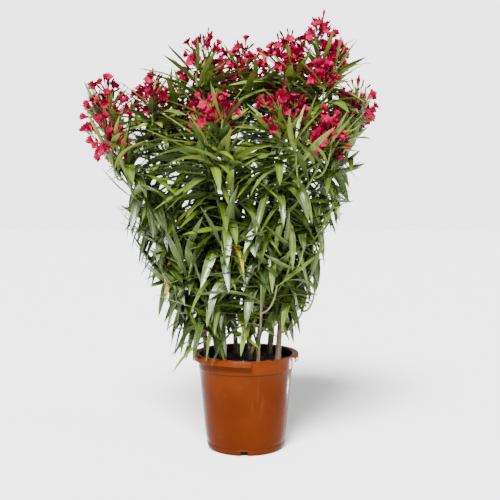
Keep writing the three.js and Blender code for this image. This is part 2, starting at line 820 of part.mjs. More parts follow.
// A shoot's own twig, with the places where its leaves and blossom can grow
function newShoot({ name, curve, details }, seed) {
  const random = seeded(seed);
  const nodes = leafNodes(details.leaves);
  if (details.flowers) {
    nodes.push(...blossomNodes(curve.getLength()));
  }
  const radiusAt = (share) => mix(TWIG_RADIUS, TWIG_TIP_RADIUS, share);
  const rings = twigRings(curve, nodes, 0, radiusAt);
  const foot = section(curve, 0, TWIG_RADIUS, TWIG_SIDES, 0);
  const twig = lofted([foot, ...rings]);
  const neighbour = touched(name, twig, twig);
  if (neighbour) {
    throw new Error(`the twig of ${name} touches ${neighbour.owner}`);
  }
  keep(name, twig, twig);
  const skin = new Skin();
  const start = skin.ring(foot);
  skin.cap([...start].reverse());
  const places = growthPlaces(skin, start, rings, nodes, curve, 0);
  return { name, curve, random, skin, places, axis: curve.getPoints(AXIS_POINTS), ...details };
}

// A side twig grows from the outer place of a node part of the way up
function addSideTwig(shoot) {
  const node = shoot.places.find((place) => place.node.share > SIDE_TWIG_SHARE).node;
  const choices = shoot.places.filter((place) => place.node === node);
  const away = shoot.curve.getPoint(node.share).sub(CROWN_MIDDLE).setZ(0).normalize();
  choices.sort((a, b) => b.outward.dot(away) - a.outward.dot(away));
  const place = choices[0];
  const corners = place.ring.map((corner) => shoot.skin.corners[corner]);
  const root = corners[0].clone().lerp(corners[2], 0.5);
  const length = SIDE_TWIG_LENGTH * mix(...SIDE_TWIG_RANGE, shoot.random());
  const reach = ({ out, up }) => (
    root.clone().addScaledVector(place.outward, length * out).addScaledVector(UP, length * up)
  );
  const curve = new THREE.QuadraticBezierCurve3(root, reach(SIDE_TWIG_BEND), reach(SIDE_TWIG_WAY));
  const nodes = leafNodes(SIDE_LEAVES);
  const turn = Math.PI / (2 * TWIG_SIDES);
  const rings = twigRings(curve, nodes, turn, () => TWIG_TIP_RADIUS);
  const solid = lofted([corners, ...rings]);
  const free = lofted(rings);
  const inside = rings.flat().every((point) => inSpace(point, shoot));
  if (inside && !touched(shoot.name, solid, free)) {
    const grow = () => growthPlaces(shoot.skin, place.ring, rings, nodes, curve, turn);
    const places = grownClear(shoot, place, grow);
    if (places) {
      keep(shoot.name, solid, free);
      shoot.places.push(...places);
    }
  }
}

// Blossom grows first, then the leaves of every shoot in turn, so that each gets its share of the room
function addBlossom(shoot) {
  for (const place of shoot.places) {
    if (place.node.kind === 'blossom') {
      growAt(shoot, place, (root) => blossomRings(root, place, shoot));
    }
  }
}

function addLeaves(shoots) {
  const most = Math.max(...shoots.map((shoot) => shoot.places.length));
  for (let i = 0; i < most; i += 1) {
    for (const shoot of shoots) {
      const place = shoot.places[i];
      if (place && place.node.kind === 'leaf' && !place.grown) {
        growLeaf(shoot, place);
      }
    }
  }
}

// Closes the places where nothing grew
function finished(shoot) {
  shoot.places.filter((place) => !place.grown).forEach((place) => shoot.skin.cap(place.ring));
  return shoot.skin.geometry();
}

function growStem(stem, shoots) {
  const curve = stemCurve(stem);
  const solid = stemSolid(stem, curve);
  keep(`stem_${stem.name}`, solid);
  addPiece(`stem_${stem.name}`, geometryOf(solid), BARK_FINISH);
  const starts = boughStarts(stem, curve);
  stem.heads.forEach((head, index) => {
    const [, , , blooms, flowers] = head;
    const whole = headCurve(starts[index], curve.getTangent(1), head);
    const lower = stretch(whole, 0, BOUGH_SHARE, 0);
    const name = `bough_${stem.name}_${index + 1}`;
    const topRadius = BOUGH_RADIUS * BOUGH_TOP_SHARE;
    const bough = taperedRod(lower, BOUGH_RADIUS, topRadius, BOUGH_SIDES, BOUGH_RINGS);
    keep(name, bough);
    addPiece(name, geometryOf(bough), BARK_FINISH);
    const leaves = flowers ? FLOWERING_LEAVES : TOP_LEAVES;
    shoots.push({
      name: `foliage_${stem.name}_top_${index + 1}`,
      curve: stretch(whole, BOUGH_SHARE, 1, SEAT_GAP),
      details: { leaves, droop: 0, blooms, flowers, forks: true },
    });
  });
  stem.low.forEach((low, index) => {
    shoots.push({
      name: `foliage_${stem.name}_low_${index + 1}`,
      curve: lowCurve(stem, curve, solid, low),
      details: { leaves: LOW_LEAVES, droop: 1, blooms: 0, flowers: false, forks: false },
    });
  });
}

function growPlant() {
  const planned = [];
  STEMS.forEach((stem) => growStem(stem, planned));
  const shoots = planned.map((plan, index) => newShoot(plan, index + 1));
  shoots.filter((shoot) => shoot.forks).forEach(addSideTwig);
  shoots.forEach(addBlossom);
  addLeaves(shoots);
  shoots.forEach((shoot) => addPiece(shoot.name, finished(shoot), LEAF_FINISH));
}

const pot = potSolid();
const soil = soilSolid();
keep('pot', pot);
keep('soil', soil);
addPiece('pot', geometryOf(pot), POT_FINISH);
addPiece('soil', geometryOf(soil), SOIL_FINISH);
growPlant();

export default plant;
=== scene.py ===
# %% [markdown]
# # A potted oleander
# The real object is a shrub about 1.2 m high in a brown plastic pot. Eight stems stand in the soil,
# fork into boughs, and end in leafy shoots with heads of red blossom. The frame gives the pot, the
# soil, the stems, the boughs and one closed solid for each shoot. This lesson dresses them: a finer
# pot, crumbly soil, barked limbs, and leaves and flowers that grow by the same rule as the solids.

# %% The frame and its box
import math
from collections import namedtuple

import bpy
from mathutils import Matrix, Vector, noise


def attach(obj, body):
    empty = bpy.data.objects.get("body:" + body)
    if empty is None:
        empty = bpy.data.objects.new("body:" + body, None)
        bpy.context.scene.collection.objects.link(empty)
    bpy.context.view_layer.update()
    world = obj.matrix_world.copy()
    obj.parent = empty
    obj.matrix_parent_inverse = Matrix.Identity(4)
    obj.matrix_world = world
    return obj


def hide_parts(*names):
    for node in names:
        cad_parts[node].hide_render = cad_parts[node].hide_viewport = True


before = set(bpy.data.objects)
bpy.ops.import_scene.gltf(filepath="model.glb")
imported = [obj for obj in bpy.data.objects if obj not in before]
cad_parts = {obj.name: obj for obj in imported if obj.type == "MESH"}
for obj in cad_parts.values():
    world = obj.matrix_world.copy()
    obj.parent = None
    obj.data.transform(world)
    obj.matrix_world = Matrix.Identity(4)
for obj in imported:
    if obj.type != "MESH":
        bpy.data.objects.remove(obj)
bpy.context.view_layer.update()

MM = 0.001


# %% [markdown]
# The camera stands where the photographer stood: a little above the middle of the plant, about
# 2.4 m away, looking slightly down, so the rim of the pot shows as a flat oval.

# %% The camera
CAMERA_PLACE = (0.012, -2.366, 0.705)
CAMERA_PITCH = math.radians(3.6)
FOCAL_PIXELS = 845
PICTURE_PIXELS = 500
SENSOR_WIDTH = 36

bpy.ops.object.select_all(action="DESELECT")
bpy.ops.object.camera_add(location=CAMERA_PLACE, rotation=(math.pi / 2 - CAMERA_PITCH, 0, 0))
camera = bpy.context.object
camera.name = "camera"
camera.data.sensor_width = SENSOR_WIDTH
camera.data.lens = FOCAL_PIXELS * SENSOR_WIDTH / PICTURE_PIXELS
bpy.context.scene.camera = camera
print("camera lens", round(camera.data.lens, 1), "mm")

# %% [markdown]
# Finishes are written as sums. `Value` wraps one socket, so that `1 - mask * 0.5` adds its Math
# nodes by itself. `Finish` makes a material and adds every other node through one method.


# %% A socket that takes part in sums
class Value:
    def __init__(self, finish, socket):
        self.finish = finish
        self.socket = socket

    def __add__(self, other):
        return self.finish.maths("ADD", self, other)

    def __sub__(self, other):
        return self.finish.maths("SUBTRACT", self, other)

    def __rsub__(self, other):
        return self.finish.maths("SUBTRACT", other, self)

    def __mul__(self, other):
        return self.finish.maths("MULTIPLY", self, other)

    def __pow__(self, other):
        return self.finish.maths("POWER", self, other)

    __radd__ = __add__
    __rmul__ = __mul__


# %% A material that is built node by node
class Finish:
    def __init__(self, name, roughness):
        self.material = bpy.data.materials.new(name)
        self.material.use_nodes = True
        self.tree = self.material.node_tree
        self.shader = self.tree.nodes["Principled BSDF"]
        self.shader.inputs["Roughness"].default_value = roughness

    def feed(self, socket, value):
        if isinstance(value, Value):
            self.tree.links.new(value.socket, socket)
        else:
            socket.default_value = value

    def node(self, kind, settings=None, sockets=None, output=0):
        made = self.tree.nodes.new(kind)
        for name, value in (settings or {}).items():
            setattr(made, name, value)
        for name, value in (sockets or {}).items():
            self.feed(made.inputs[name], value)
        return Value(self, made.outputs[output])

    def maths(self, operation, *values):
        sockets = dict(enumerate(values))
        return self.node("ShaderNodeMath", {"operation": operation}, sockets)

    def place(self):
        return self.node("ShaderNodeTexCoord", output="Object")

    def axis(self, vector, name):
        return self.node("ShaderNodeSeparateXYZ", sockets={"Vector": vector}, output=name)

    def uv(self, name):
        return self.axis(self.node("ShaderNodeUVMap"), name)

    def tone(self):
        return self.node("ShaderNodeAttribute", {"attribute_name": "tone"}, output="Fac")

    def stretched(self, vector, scale):
        sockets = {"Vector": vector, "Scale": scale}
        return self.node("ShaderNodeMapping", sockets=sockets)

    def cloud(self, vector, scale, detail=3.0, roughness=0.55):
        sockets = {"Vector": vector, "Scale": scale, "Detail": detail, "Roughness": roughness}
        return self.node("ShaderNodeTexNoise", sockets=sockets)

    # 0 where a value is below low, 1 where it is above high, and smooth between
    def mask(self, value, low, high):
        settings = {"interpolation_type": "SMOOTHSTEP"}
        sockets = {"Value": value, "From Min": low, "From Max": high}
        return self.node("ShaderNodeMapRange", settings, sockets)

    # 1 at the middle, and falling smoothly to 0 on both sides of it
    def band(self, value, middle, half):
        below = self.mask(value, middle - half, middle)
        return below * (1 - self.mask(value, middle, middle + half))

    def blend(self, share, first, second):
        settings = {"data_type": "RGBA"}
        return self.node("ShaderNodeMix", settings, {0: share, 6: first, 7: second}, output=2)

    def bump(self, height, strength, distance):
        sockets = {"Height": height, "Strength": strength, "Distance": distance}
        self.use("Normal", self.node("ShaderNodeBump", sockets=sockets))

    def use(self, name, value):
        self.feed(self.shader.inputs[name], value)


def colour(red, green, blue):
    return (red, green, blue, 1.0)


# %% [markdown]
# ## The pot
# The real pot is moulded in thin brown plastic. Its lip is rolled outwards and down, a collar below
# it is a hair wider than the wall, and a narrow band runs round the foot, with square drainage
# notches in it. The lip has been torn off the wall at the front, on the right. One disc is extruded
# ring by ring up the outside, over the lip and down the inside, as a potter pulls up a wall, because
# that keeps the shell closed and its faces pointing outwards. Notches and tear are then cut out.


# %% Helpers for modelling by hand
def deselect():
    bpy.ops.object.select_all(action="DESELECT")


def pick(*pieces):
    deselect()
    for piece in pieces:
        piece.select_set(True)
    bpy.context.view_layer.objects.active = pieces[0]


def raise_by(height):
    bpy.ops.transform.translate(value=(0, 0, height))


def widen(share):
    bpy.ops.transform.resize(value=(share, share, 1))


def turn_faces_outwards():
    bpy.ops.mesh.select_all(action="SELECT")
    bpy.ops.mesh.normals_make_consistent(inside=False)


def applied(piece, kind, **settings):
    modifier = piece.modifiers.new(kind.lower(), kind)
    for name, value in settings.items():
        setattr(modifier, name, value)
    bpy.context.view_layer.objects.active = piece
    bpy.ops.object.modifier_apply(modifier=modifier.name)


def cut(piece, cutter):
    applied(piece, "BOOLEAN", object=cutter, operation="DIFFERENCE", solver="EXACT")
    bpy.data.objects.remove(cutter)


def settled(piece):
    pick(piece)
    bpy.ops.object.transform_apply(location=True, rotation=True, scale=True)


def report(piece):
    triangles = sum(len(face.vertices) - 2 for face in piece.data.polygons)
    print(piece.name, "triangles", triangles)


# %% The pot's outline, as (radius, height) in millimetres
POT_OUTLINE = [
    (101.0, 0.0), (104.5, 0.7), (107.2, 2.6), (108.8, 5.4), (109.2, 8.5), (110.0, 13.0),
    (110.2, 15.6), (109.9, 17.0), (109.2, 17.6), (109.3, 18.6), (110.6, 24.0), (112.2, 32.0),
    (113.9, 40.0), (117.3, 75.0), (121.0, 115.0), (124.8, 155.0), (128.0, 190.0), (131.1, 224.6),
    (131.9, 226.0), (132.9, 227.2), (133.1, 231.0), (133.3, 244.0), (133.5, 262.4), (134.2, 263.6),
    (144.6, 263.6), (146.6, 262.4), (147.0, 260.0), (147.1, 253.4), (147.7, 252.2), (148.9, 252.0),
    (149.8, 252.6), (150.0, 254.0), (149.9, 262.6), (149.2, 265.8), (147.4, 267.5), (145.0, 268.0),
    (136.0, 267.7), (133.2, 266.9), (131.3, 264.8), (130.6, 261.0), (130.1, 244.0), (129.5, 227.0),
    (128.1, 224.0), (125.0, 190.0), (118.1, 115.0), (110.9, 40.0),
]
POT_SIDES = 128
INSIDE_FLOOR_RADIUS = 0.104

# %% The pot is pulled up from a disc
deselect()
first_radius, first_height = POT_OUTLINE[0]
bpy.ops.mesh.primitive_circle_add(
    vertices=POT_SIDES, radius=first_radius * MM, fill_type="NGON", location=(0, 0, 0)
)
pot = bpy.context.object
pot.name = "pot_wall"
bpy.ops.object.mode_set(mode="EDIT")
for (radius, height), (next_radius, next_height) in zip(POT_OUTLINE, POT_OUTLINE[1:]):
    bpy.ops.mesh.extrude_region_move()
    raise_by((next_height - height) * MM)
    widen(next_radius / radius)
bpy.ops.mesh.inset(thickness=POT_OUTLINE[-1][0] * MM - INSIDE_FLOOR_RADIUS)
turn_faces_outwards()
bpy.ops.object.mode_set(mode="OBJECT")
report(pot)

# %% Square drainage notches are cut through the foot band
NOTCH_COUNT = 4
NOTCH_SIZE = (0.016, 0.019, 0.026)
NOTCH_ROUNDING = 0.0012
NOTCH_REACH = 0.104
FIRST_NOTCH = -92
for index in range(NOTCH_COUNT):
    bearing = math.radians(FIRST_NOTCH + index * 360 / NOTCH_COUNT)
    deselect()
    bpy.ops.mesh.primitive_cube_add(size=1, rotation=(0, 0, bearing))
    cutter = bpy.context.object
    cutter.scale = NOTCH_SIZE
    cutter.location = (NOTCH_REACH * math.cos(bearing), NOTCH_REACH * math.sin(bearing), 0)
    settled(cutter)
    applied(cutter, "BEVEL", width=NOTCH_ROUNDING, segments=2)
    cut(pot, cutter)
report(pot)

# %% The lip is torn off the wall over part of the front: a stretch of a ring is cut away
TEAR_FROM = math.radians(-84.4)
TEAR_TO = math.radians(-22.5)
TEAR_RADIUS = 0.1343
TEAR_OUTSIDE = 0.165
TEAR_FOOT = 0.2495
TEAR_HEIGHT = 0.026
deselect()
bpy.ops.mesh.primitive_circle_add(
    vertices=POT_SIDES * 2, radius=TEAR_RADIUS, fill_type="NOTHING", location=(0, 0, TEAR_FOOT)
)
cutter = bpy.context.object
settled(cutter)
bpy.ops.object.mode_set(mode="EDIT")
bpy.ops.mesh.extrude_region_move()
widen(TEAR_OUTSIDE / TEAR_RADIUS)
bpy.ops.mesh.select_all(action="DESELECT")
bpy.ops.object.mode_set(mode="OBJECT")
for face in cutter.data.polygons:
    face.select = not TEAR_FROM < math.atan2(face.center.y, face.center.x) < TEAR_TO
bpy.ops.object.mode_set(mode="EDIT")
bpy.ops.mesh.select_mode(type="FACE")
bpy.ops.mesh.delete(type="FACE")
bpy.ops.mesh.select_all(action="SELECT")
bpy.ops.mesh.extrude_region_move()
raise_by(TEAR_HEIGHT)
turn_faces_outwards()
bpy.ops.object.mode_set(mode="OBJECT")
cut(pot, cutter)
report(pot)

# %% The rim is wavy, dented and ragged where it is torn, and the torn ends of the lip hang down
LIP_FROM = 0.2455
WALL_INSIDE = 0.1302
ROLL_FROM = 0.1400
ROLL_WIDTH = 0.006
EDGE_FROM = 0.262
LIP_WAVE = 0.0011
WAVE_SCALE = 2.2
RAGGED = 0.0016
RAG_SCALE = 14
SMOOTH_BELOW = math.radians(38)
# A dent is (bearing, width, depth), and a torn end is (bearing, drop, width)
DENTS = [(math.radians(-57), 0.045, 0.0040), (math.radians(-44), 0.07, 0.0012)]
TORN_ENDS = [(TEAR_TO, 0.0035, 0.2), (TEAR_FROM, 0.0008, 0.1)]


def near(bearing, middle, width):
    return math.exp(-((bearing - middle) / width) ** 2)


for corner in pot.data.vertices:
    radius = corner.co.xy.length
    if corner.co.z < LIP_FROM or radius < WALL_INSIDE:
        continue
    bearing = math.atan2(corner.co.y, corner.co.x)
    around = Vector((math.cos(bearing), math.sin(bearing), 0))
    corner.co.z += LIP_WAVE * noise.noise(around * WAVE_SCALE + Vector((0, 0, 0.4)))
    if radius > ROLL_FROM:
        outermost = min((radius - ROLL_FROM) / ROLL_WIDTH, 1)
        for middle, drop, width in TORN_ENDS:
            corner.co.z -= outermost * drop * near(bearing, middle, width)
    elif corner.co.z > EDGE_FROM:
        torn = TEAR_FROM < bearing < TEAR_TO
        corner.co.z -= RAGGED * (0.5 + noise.noise(around * RAG_SCALE)) * torn
        corner.co.z -= sum(depth * near(bearing, middle, width) for middle, width, depth in DENTS)
pick(pot)
bpy.ops.object.shade_smooth_by_angle(angle=SMOOTH_BELOW)
print("the torn lip's right end hangs down by", TORN_ENDS[0][1], "m")

# %% [markdown]
# The plastic is an even red-brown. It is more orange on the lip, a little darker towards the foot,
# and carries pale scuffs and dried water marks. It is satin, so its highlights are long and soft.

# %% The pot's finish
POT_BROWN = colour(0.066, 0.0120, 0.0011)
POT_ORANGE = colour(0.080, 0.0150, 0.0020)
POT_DARK = colour(0.048, 0.0080, 0.0006)
POT_CHALK = colour(0.13, 0.054, 0.026)
POT_SHADE_AND_STAIN = colour(0.012, 0.006, 0.004)
INNER_WALL = 0.1319
WALL_BLUR = 0.0008
SOIL_LINE = 0.240
SOIL_LINE_WIDTH = 0.004
NOTCH_SHADE = 0.1045
NOTCH_BLUR = 0.001
# Painted shade in the creases over the foot band and under the collar, and a painted shadow under the
# lip: height and half width
PAINTED_CREASE_SHADES = [(0.0179, 0.0016), (0.2248, 0.0019)]
UNDER_LIP_SHADOW = (0.2508, 0.0022)
CREASE_SHADE = 0.75

plastic = Finish("pot_plastic", 0.34)
spot = plastic.place()
height = plastic.axis(spot, "Z")
side = plastic.axis(spot, "X")
depth = plastic.axis(spot, "Y")
radius = (side * side + depth * depth) ** 0.5
uneven = plastic.cloud(spot, 9.0, 4.0)
streaks = plastic.cloud(plastic.stretched(spot, (46.0, 46.0, 4.0)), 1.0, 3.0)
smudges = plastic.mask(plastic.cloud(spot, 16.0, 6.0, 0.66), 0.56, 0.78)
brown = plastic.blend(plastic.mask(uneven, 0.3, 0.75), POT_DARK, POT_BROWN)
brown = plastic.blend(plastic.mask(height, 0.0, 0.16) * 0.4 + 0.6, POT_DARK, brown)
brown = plastic.blend(plastic.mask(height, 0.15, 0.262) * 0.8, brown, POT_ORANGE)
marks = smudges * plastic.mask(height, 0.11, 0.2) * 0.3 + plastic.mask(streaks, 0.6, 0.8) * 0.12
brown = plastic.blend(marks, brown, POT_CHALK)
# Painted shade: dark lines in the creases, and a painted shadow under the lip where the lip is not
# torn off
torn_right = plastic.mask(side, 0.010, 0.014) * (1 - plastic.mask(depth, -0.056, -0.050))
for middle, half in PAINTED_CREASE_SHADES:
    painted_crease_shade = plastic.band(height, middle, half) * CREASE_SHADE
    brown = plastic.blend(painted_crease_shade, brown, POT_SHADE_AND_STAIN)
painted_under_lip_shadow = plastic.band(height, *UNDER_LIP_SHADOW) * CREASE_SHADE * (1 - torn_right)
brown = plastic.blend(painted_under_lip_shadow, brown, POT_SHADE_AND_STAIN)
# The inside of the wall above the soil is painted dark: soil smears, and painted shade inside the rim
unsteady = radius + uneven * WALL_BLUR
inside = 1 - plastic.mask(unsteady, INNER_WALL - WALL_BLUR, INNER_WALL + WALL_BLUR)
soil_smear_and_shade = inside * plastic.mask(height, SOIL_LINE - SOIL_LINE_WIDTH, SOIL_LINE) * 0.9
# The inside of each drainage notch is painted dark as shade
notch_painted_shade = 1 - plastic.mask(radius, NOTCH_SHADE - NOTCH_BLUR, NOTCH_SHADE + NOTCH_BLUR)
notch_painted_shade = notch_painted_shade * plastic.mask(height, 0.001, 0.003)
plastic.use("Base Color", plastic.blend(soil_smear_and_shade + notch_painted_shade, brown, POT_SHADE_AND_STAIN))
plastic.use("Roughness", uneven * 0.12 + smudges * 0.2 + 0.16)
grain = plastic.cloud(spot, 900.0, 2.0) * 0.25 + plastic.cloud(spot, 60.0, 2.0)
plastic.bump(grain, 0.05, 0.0005)
plastic.use("Specular IOR Level", 0.026)
pot.data.materials.clear()
pot.data.materials.append(plastic.material)
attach(pot, "root")
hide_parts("pot")
print("finish", plastic.material.name, "nodes", len(plastic.tree.nodes))

# %% [markdown]
# ## The soil
# Moist potting soil is almost black and crumbly. A disc is extruded to a plug and its top is inset
# again and again, which gives rings of small faces, and these are lifted by three sizes of noise.
# Crumbs, bark chips and a few pale grains are then scattered over it.

# %% The plug of soil
SOIL_LEVEL = 0.246
SOIL_RADIUS = 0.1298
SOIL_FOOT_RADIUS = 0.1272
SOIL_DEPTH = 0.03
SOIL_SIDES = 96
SOIL_RINGS = 34
SOIL_ROUGHNESS = 0.0042
# Each noise: its scale, the layer it is read from, and its share of the roughness
SOIL_NOISES = [(22, 1.7, 0.7), (130, 5.1, 0.75), (310, 9.3, 0.3)]
deselect()
bpy.ops.mesh.primitive_circle_add(
    vertices=SOIL_SIDES, radius=SOIL_FOOT_RADIUS, fill_type="NGON",
    location=(0, 0, SOIL_LEVEL - SOIL_DEPTH),
)
soil = bpy.context.object
soil.name = "soil_bed"
bpy.ops.object.mode_set(mode="EDIT")
bpy.ops.mesh.extrude_region_move()
raise_by(SOIL_DEPTH)
widen(SOIL_RADIUS / SOIL_FOOT_RADIUS)
for _ in range(SOIL_RINGS):
    bpy.ops.mesh.inset(thickness=SOIL_RADIUS / (SOIL_RINGS + 1))
bpy.ops.mesh.poke()
turn_faces_outwards()
bpy.ops.object.mode_set(mode="OBJECT")
settled(soil)


def soil_height(x, y):
    lift = 0
    for scale, layer, share in SOIL_NOISES:
        lift += noise.noise(Vector((x * scale, y * scale, layer))) * share
    return SOIL_LEVEL + SOIL_ROUGHNESS * lift


for corner in soil.data.vertices:
    if corner.co.z > SOIL_LEVEL - SOIL_DEPTH / 2:
        corner.co.z = soil_height(corner.co.x, corner.co.y)
report(soil)

# %% The soil's finish
SOIL_BLACK = colour(0.008, 0.006, 0.004)
SOIL_BROWN = colour(0.045, 0.027, 0.016)

earth = Finish("compost", 0.9)
spot = earth.place()
lumps = earth.cloud(spot, 190.0, 5.0, 0.7)
earth.use("Base Color", earth.blend(earth.mask(lumps, 0.4, 0.68), SOIL_BLACK, SOIL_BROWN))
earth.use("Roughness", 1 - earth.mask(lumps, 0.55, 0.8) * 0.45)
earth.bump(lumps, 0.9, 0.003)
soil.data.materials.append(earth.material)
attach(soil, "root")
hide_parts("soil")
print("finish", earth.material.name)

# %% [markdown]
# ## Many small shapes in one mesh
# Leaves, petals and crumbs repeat by the hundred. Each is a short list of corners and faces, and
# `Gathering` joins them into one mesh. Every corner keeps its place on its own leaf as a UV, and one
# number, `tone`, that differs from leaf to leaf, so that the finishes can vary without any image.


# %% The gathering of small shapes
class Gathering:
    def __init__(self):
        self.corners = []
        self.faces = []
        self.uvs = []
        self.tones = []
        self.slots = []

    def add(self, corners, faces, uvs, tone, slots):
        first = len(self.corners)
        self.corners.extend(corner * MM for corner in corners)
        self.faces.extend([first + corner for corner in face] for face in faces)
        self.uvs.extend(uvs)
        self.tones.extend([tone] * len(corners))
        self.slots.extend(slots)

    def piece(self, name, finishes, sharp):
        mesh = bpy.data.meshes.new(name)
        mesh.from_pydata(self.corners, [], self.faces)
        layer = mesh.uv_layers.new(name="UVMap")
        for loop in mesh.loops:
            layer.data[loop.index].uv = self.uvs[loop.vertex_index]
        tones = mesh.attributes.new("tone", "FLOAT", "POINT")
        tones.data.foreach_set("value", self.tones)
        for finish in finishes:
            mesh.materials.append(finish.material)
        mesh.polygons.foreach_set("material_index", self.slots)
        mesh.polygons.foreach_set("use_smooth", [True] * len(self.faces))
        mesh.set_sharp_from_angle(angle=math.radians(sharp))
        mesh.update()
        made = bpy.data.objects.new(name, mesh)
        bpy.context.scene.collection.objects.link(made)
        report(made)
        return made


# %% Numbers that look random and are the same on every run
MODULUS = 2147483647
MULTIPLIER = 48271
SEED_STEP = 7919
SEED_START = 17


class Dice:
    def __init__(self, seed):
        self.state = (seed * SEED_STEP + SEED_START) % MODULUS

    def roll(self):
        self.state = (self.state * MULTIPLIER) % MODULUS
        return self.state / MODULUS

    def between(self, low, high):
        return low + (high - low) * self.roll()

    def spread(self, amount):
        return self.between(-amount, amount)


def mix(start, end, share):
    return start + (end - start) * share


def polar(bearing, distance, height):
    angle = math.radians(bearing)
    return Vector((distance * math.cos(angle), distance * math.sin(angle), height))


UP = Vector((0, 0, 1))
print("first numbers", [round(Dice(1).roll(), 4), round(Dice(2).roll(), 4)])

# %% [markdown]
# ## The growth rule
# The solids of the frame grow from a table of stems: where each stands, where it forks, where its
# heads are, and where its low shoots leave it. The same table, in millimetres, grows the limbs,
# twigs, leaves and flowers here, so everything stays where the solids are.

# %% The stems, their heads and their low shoots
# A foot is (bearing, distance), and a low shoot is (bearing, share of the stem, reach, rise)
Stem = namedtuple("Stem", "foot thickness fork heads lows")
Head = namedtuple("Head", "bearing distance height blooms flowering")
STEMS = {
    "front": Stem(
        foot=(219, 76), thickness=0.82, fork=575,
        heads=[Head(231, 152, 955, 6, True), Head(257, 150, 805, 0, False)],
        lows=[(240, 0.2, 92, 130), (205, 0.45, 105, 150), (288, 0.66, 88, 150)],
    ),
    "front_right": Stem(
        foot=(290, 100), thickness=0.7, fork=560,
        heads=[Head(304, 162, 968, 6, True), Head(324, 250, 905, 5, True)],
        lows=[(272, 0.3, 82, 140), (322, 0.6, 95, 150)],
    ),
    "right": Stem(
        foot=(332, 102), thickness=1.15, fork=585,
        heads=[Head(6, 208, 1178, 6, True), Head(0, 308, 1010, 6, True)],
        lows=[(338, 0.25, 82, 145), (12, 0.58, 95, 165)],
    ),
    "left": Stem(
        foot=(178, 112), thickness=1.05, fork=575,
        heads=[
            Head(185, 378, 1010, 6, True), Head(166, 272, 1030, 6, True), Head(198, 385, 900, 5, True),
        ],
        lows=[(215, 0.25, 95, 140), (176, 0.55, 105, 160)],
    ),
    "left_inner": Stem(
        foot=(150, 84), thickness=0.95, fork=600,
        heads=[Head(144, 226, 1050, 2, True), Head(158, 125, 1140, 6, True)],
        lows=[(152, 0.3, 112, 150), (215, 0.68, 90, 150)],
    ),
    "back_left": Stem(
        foot=(108, 96), thickness=1, fork=545,
        heads=[Head(104, 272, 1062, 6, True), Head(139, 318, 975, 6, True)],
        lows=[(122, 0.25, 105, 145), (92, 0.58, 112, 160)],
    ),
    "back_right": Stem(
        foot=(48, 104), thickness=1, fork=560,
        heads=[Head(62, 276, 1076, 6, True), Head(28, 336, 985, 6, True)],
        lows=[(56, 0.25, 100, 145), (30, 0.58, 105, 165)],
    ),
    "middle": Stem(
        foot=(56, 16), thickness=1, fork=620,
        heads=[Head(94, 112, 1125, 7, True), Head(24, 122, 1140, 6, True)],
        lows=[],
    ),
}
print("stems", len(STEMS), "heads", sum(len(stem.heads) for stem in STEMS.values()))


# %% A smooth curve through space
LENGTH_STEPS = 40


class Curve:
    def __init__(self, *controls):
        self.controls = controls

    def at(self, share):
        points = list(self.controls)
        while len(points) > 1:
            points = [a.lerp(b, share) for a, b in zip(points, points[1:])]
        return points[0]

    def along(self, share):
        step = 0.001
        low = max(share - step, 0)
        high = min(share + step, 1)
        return (self.at(high) - self.at(low)).normalized()

    def length(self):
        points = [self.at(i / LENGTH_STEPS) for i in range(LENGTH_STEPS + 1)]
        return sum((b - a).length for a, b in zip(points, points[1:]))

    def level(self):
        way = self.at(1) - self.at(0)
        across = Vector((-way.y, way.x, 0))
        return across.normalized() if across.length > 1 else Vector((0, 1, 0))

    # The direction square to the curve at an angle about it, counted from its level side
    def square(self, share, angle):
        along = self.along(share)
        level = self.level()
        side = (level - along * level.dot(along)).normalized()
        return side * math.cos(angle) + along.cross(side) * math.sin(angle)


# %% Stems, boughs and shoots are stretches of curves
STEM_FOOT_RADIUS = 6.6
STEM_TOP_SHARE = 0.78
STEM_LEAN = 0.62
FLARE = 0.5
FLARE_LENGTH = 0.05
BOUGH_RADIUS = 3.7
BOUGH_CLOSENESS = 0.62
BOUGH_SINK = 9
BOUGH_SHARE = 0.34
HEAD_BEND = 0.3
BLOOM_REACH = 58
SOIL_MM = 246


def head_place(head):
    return polar(head.bearing, head.distance, head.height)


def stem_curve(stem):
    start = polar(*stem.foot, SOIL_MM)
    middle = sum((head_place(head) for head in stem.heads), Vector()) / len(stem.heads)
    share = (stem.fork - SOIL_MM) / (middle.z - SOIL_MM)
    end = start.lerp(middle, share * STEM_LEAN)
    end.z = stem.fork
    rise = (stem.fork - SOIL_MM) / 3
    high = start.lerp(end, 0.5)
    high.z = stem.fork - rise
    return Curve(start, start + UP * rise, high, end)


def stem_radius(thickness, share):
    flare = FLARE * math.exp(-share / FLARE_LENGTH)
    return STEM_FOOT_RADIUS * thickness * (mix(1, STEM_TOP_SHARE, share) + flare)


def head_curve(start, along, head):
    place = polar(head.bearing, head.distance, head.height - BLOOM_REACH)
    length = (place - start).length * HEAD_BEND
    return Curve(start, start + along * length, place - UP * length, place)


def stretch(curve, low, high):
    start = curve.at(low)
    end = curve.at(high)
    length = (end - start).length / 3
    return Curve(start, start + curve.along(low) * length, end - curve.along(high) * length, end)


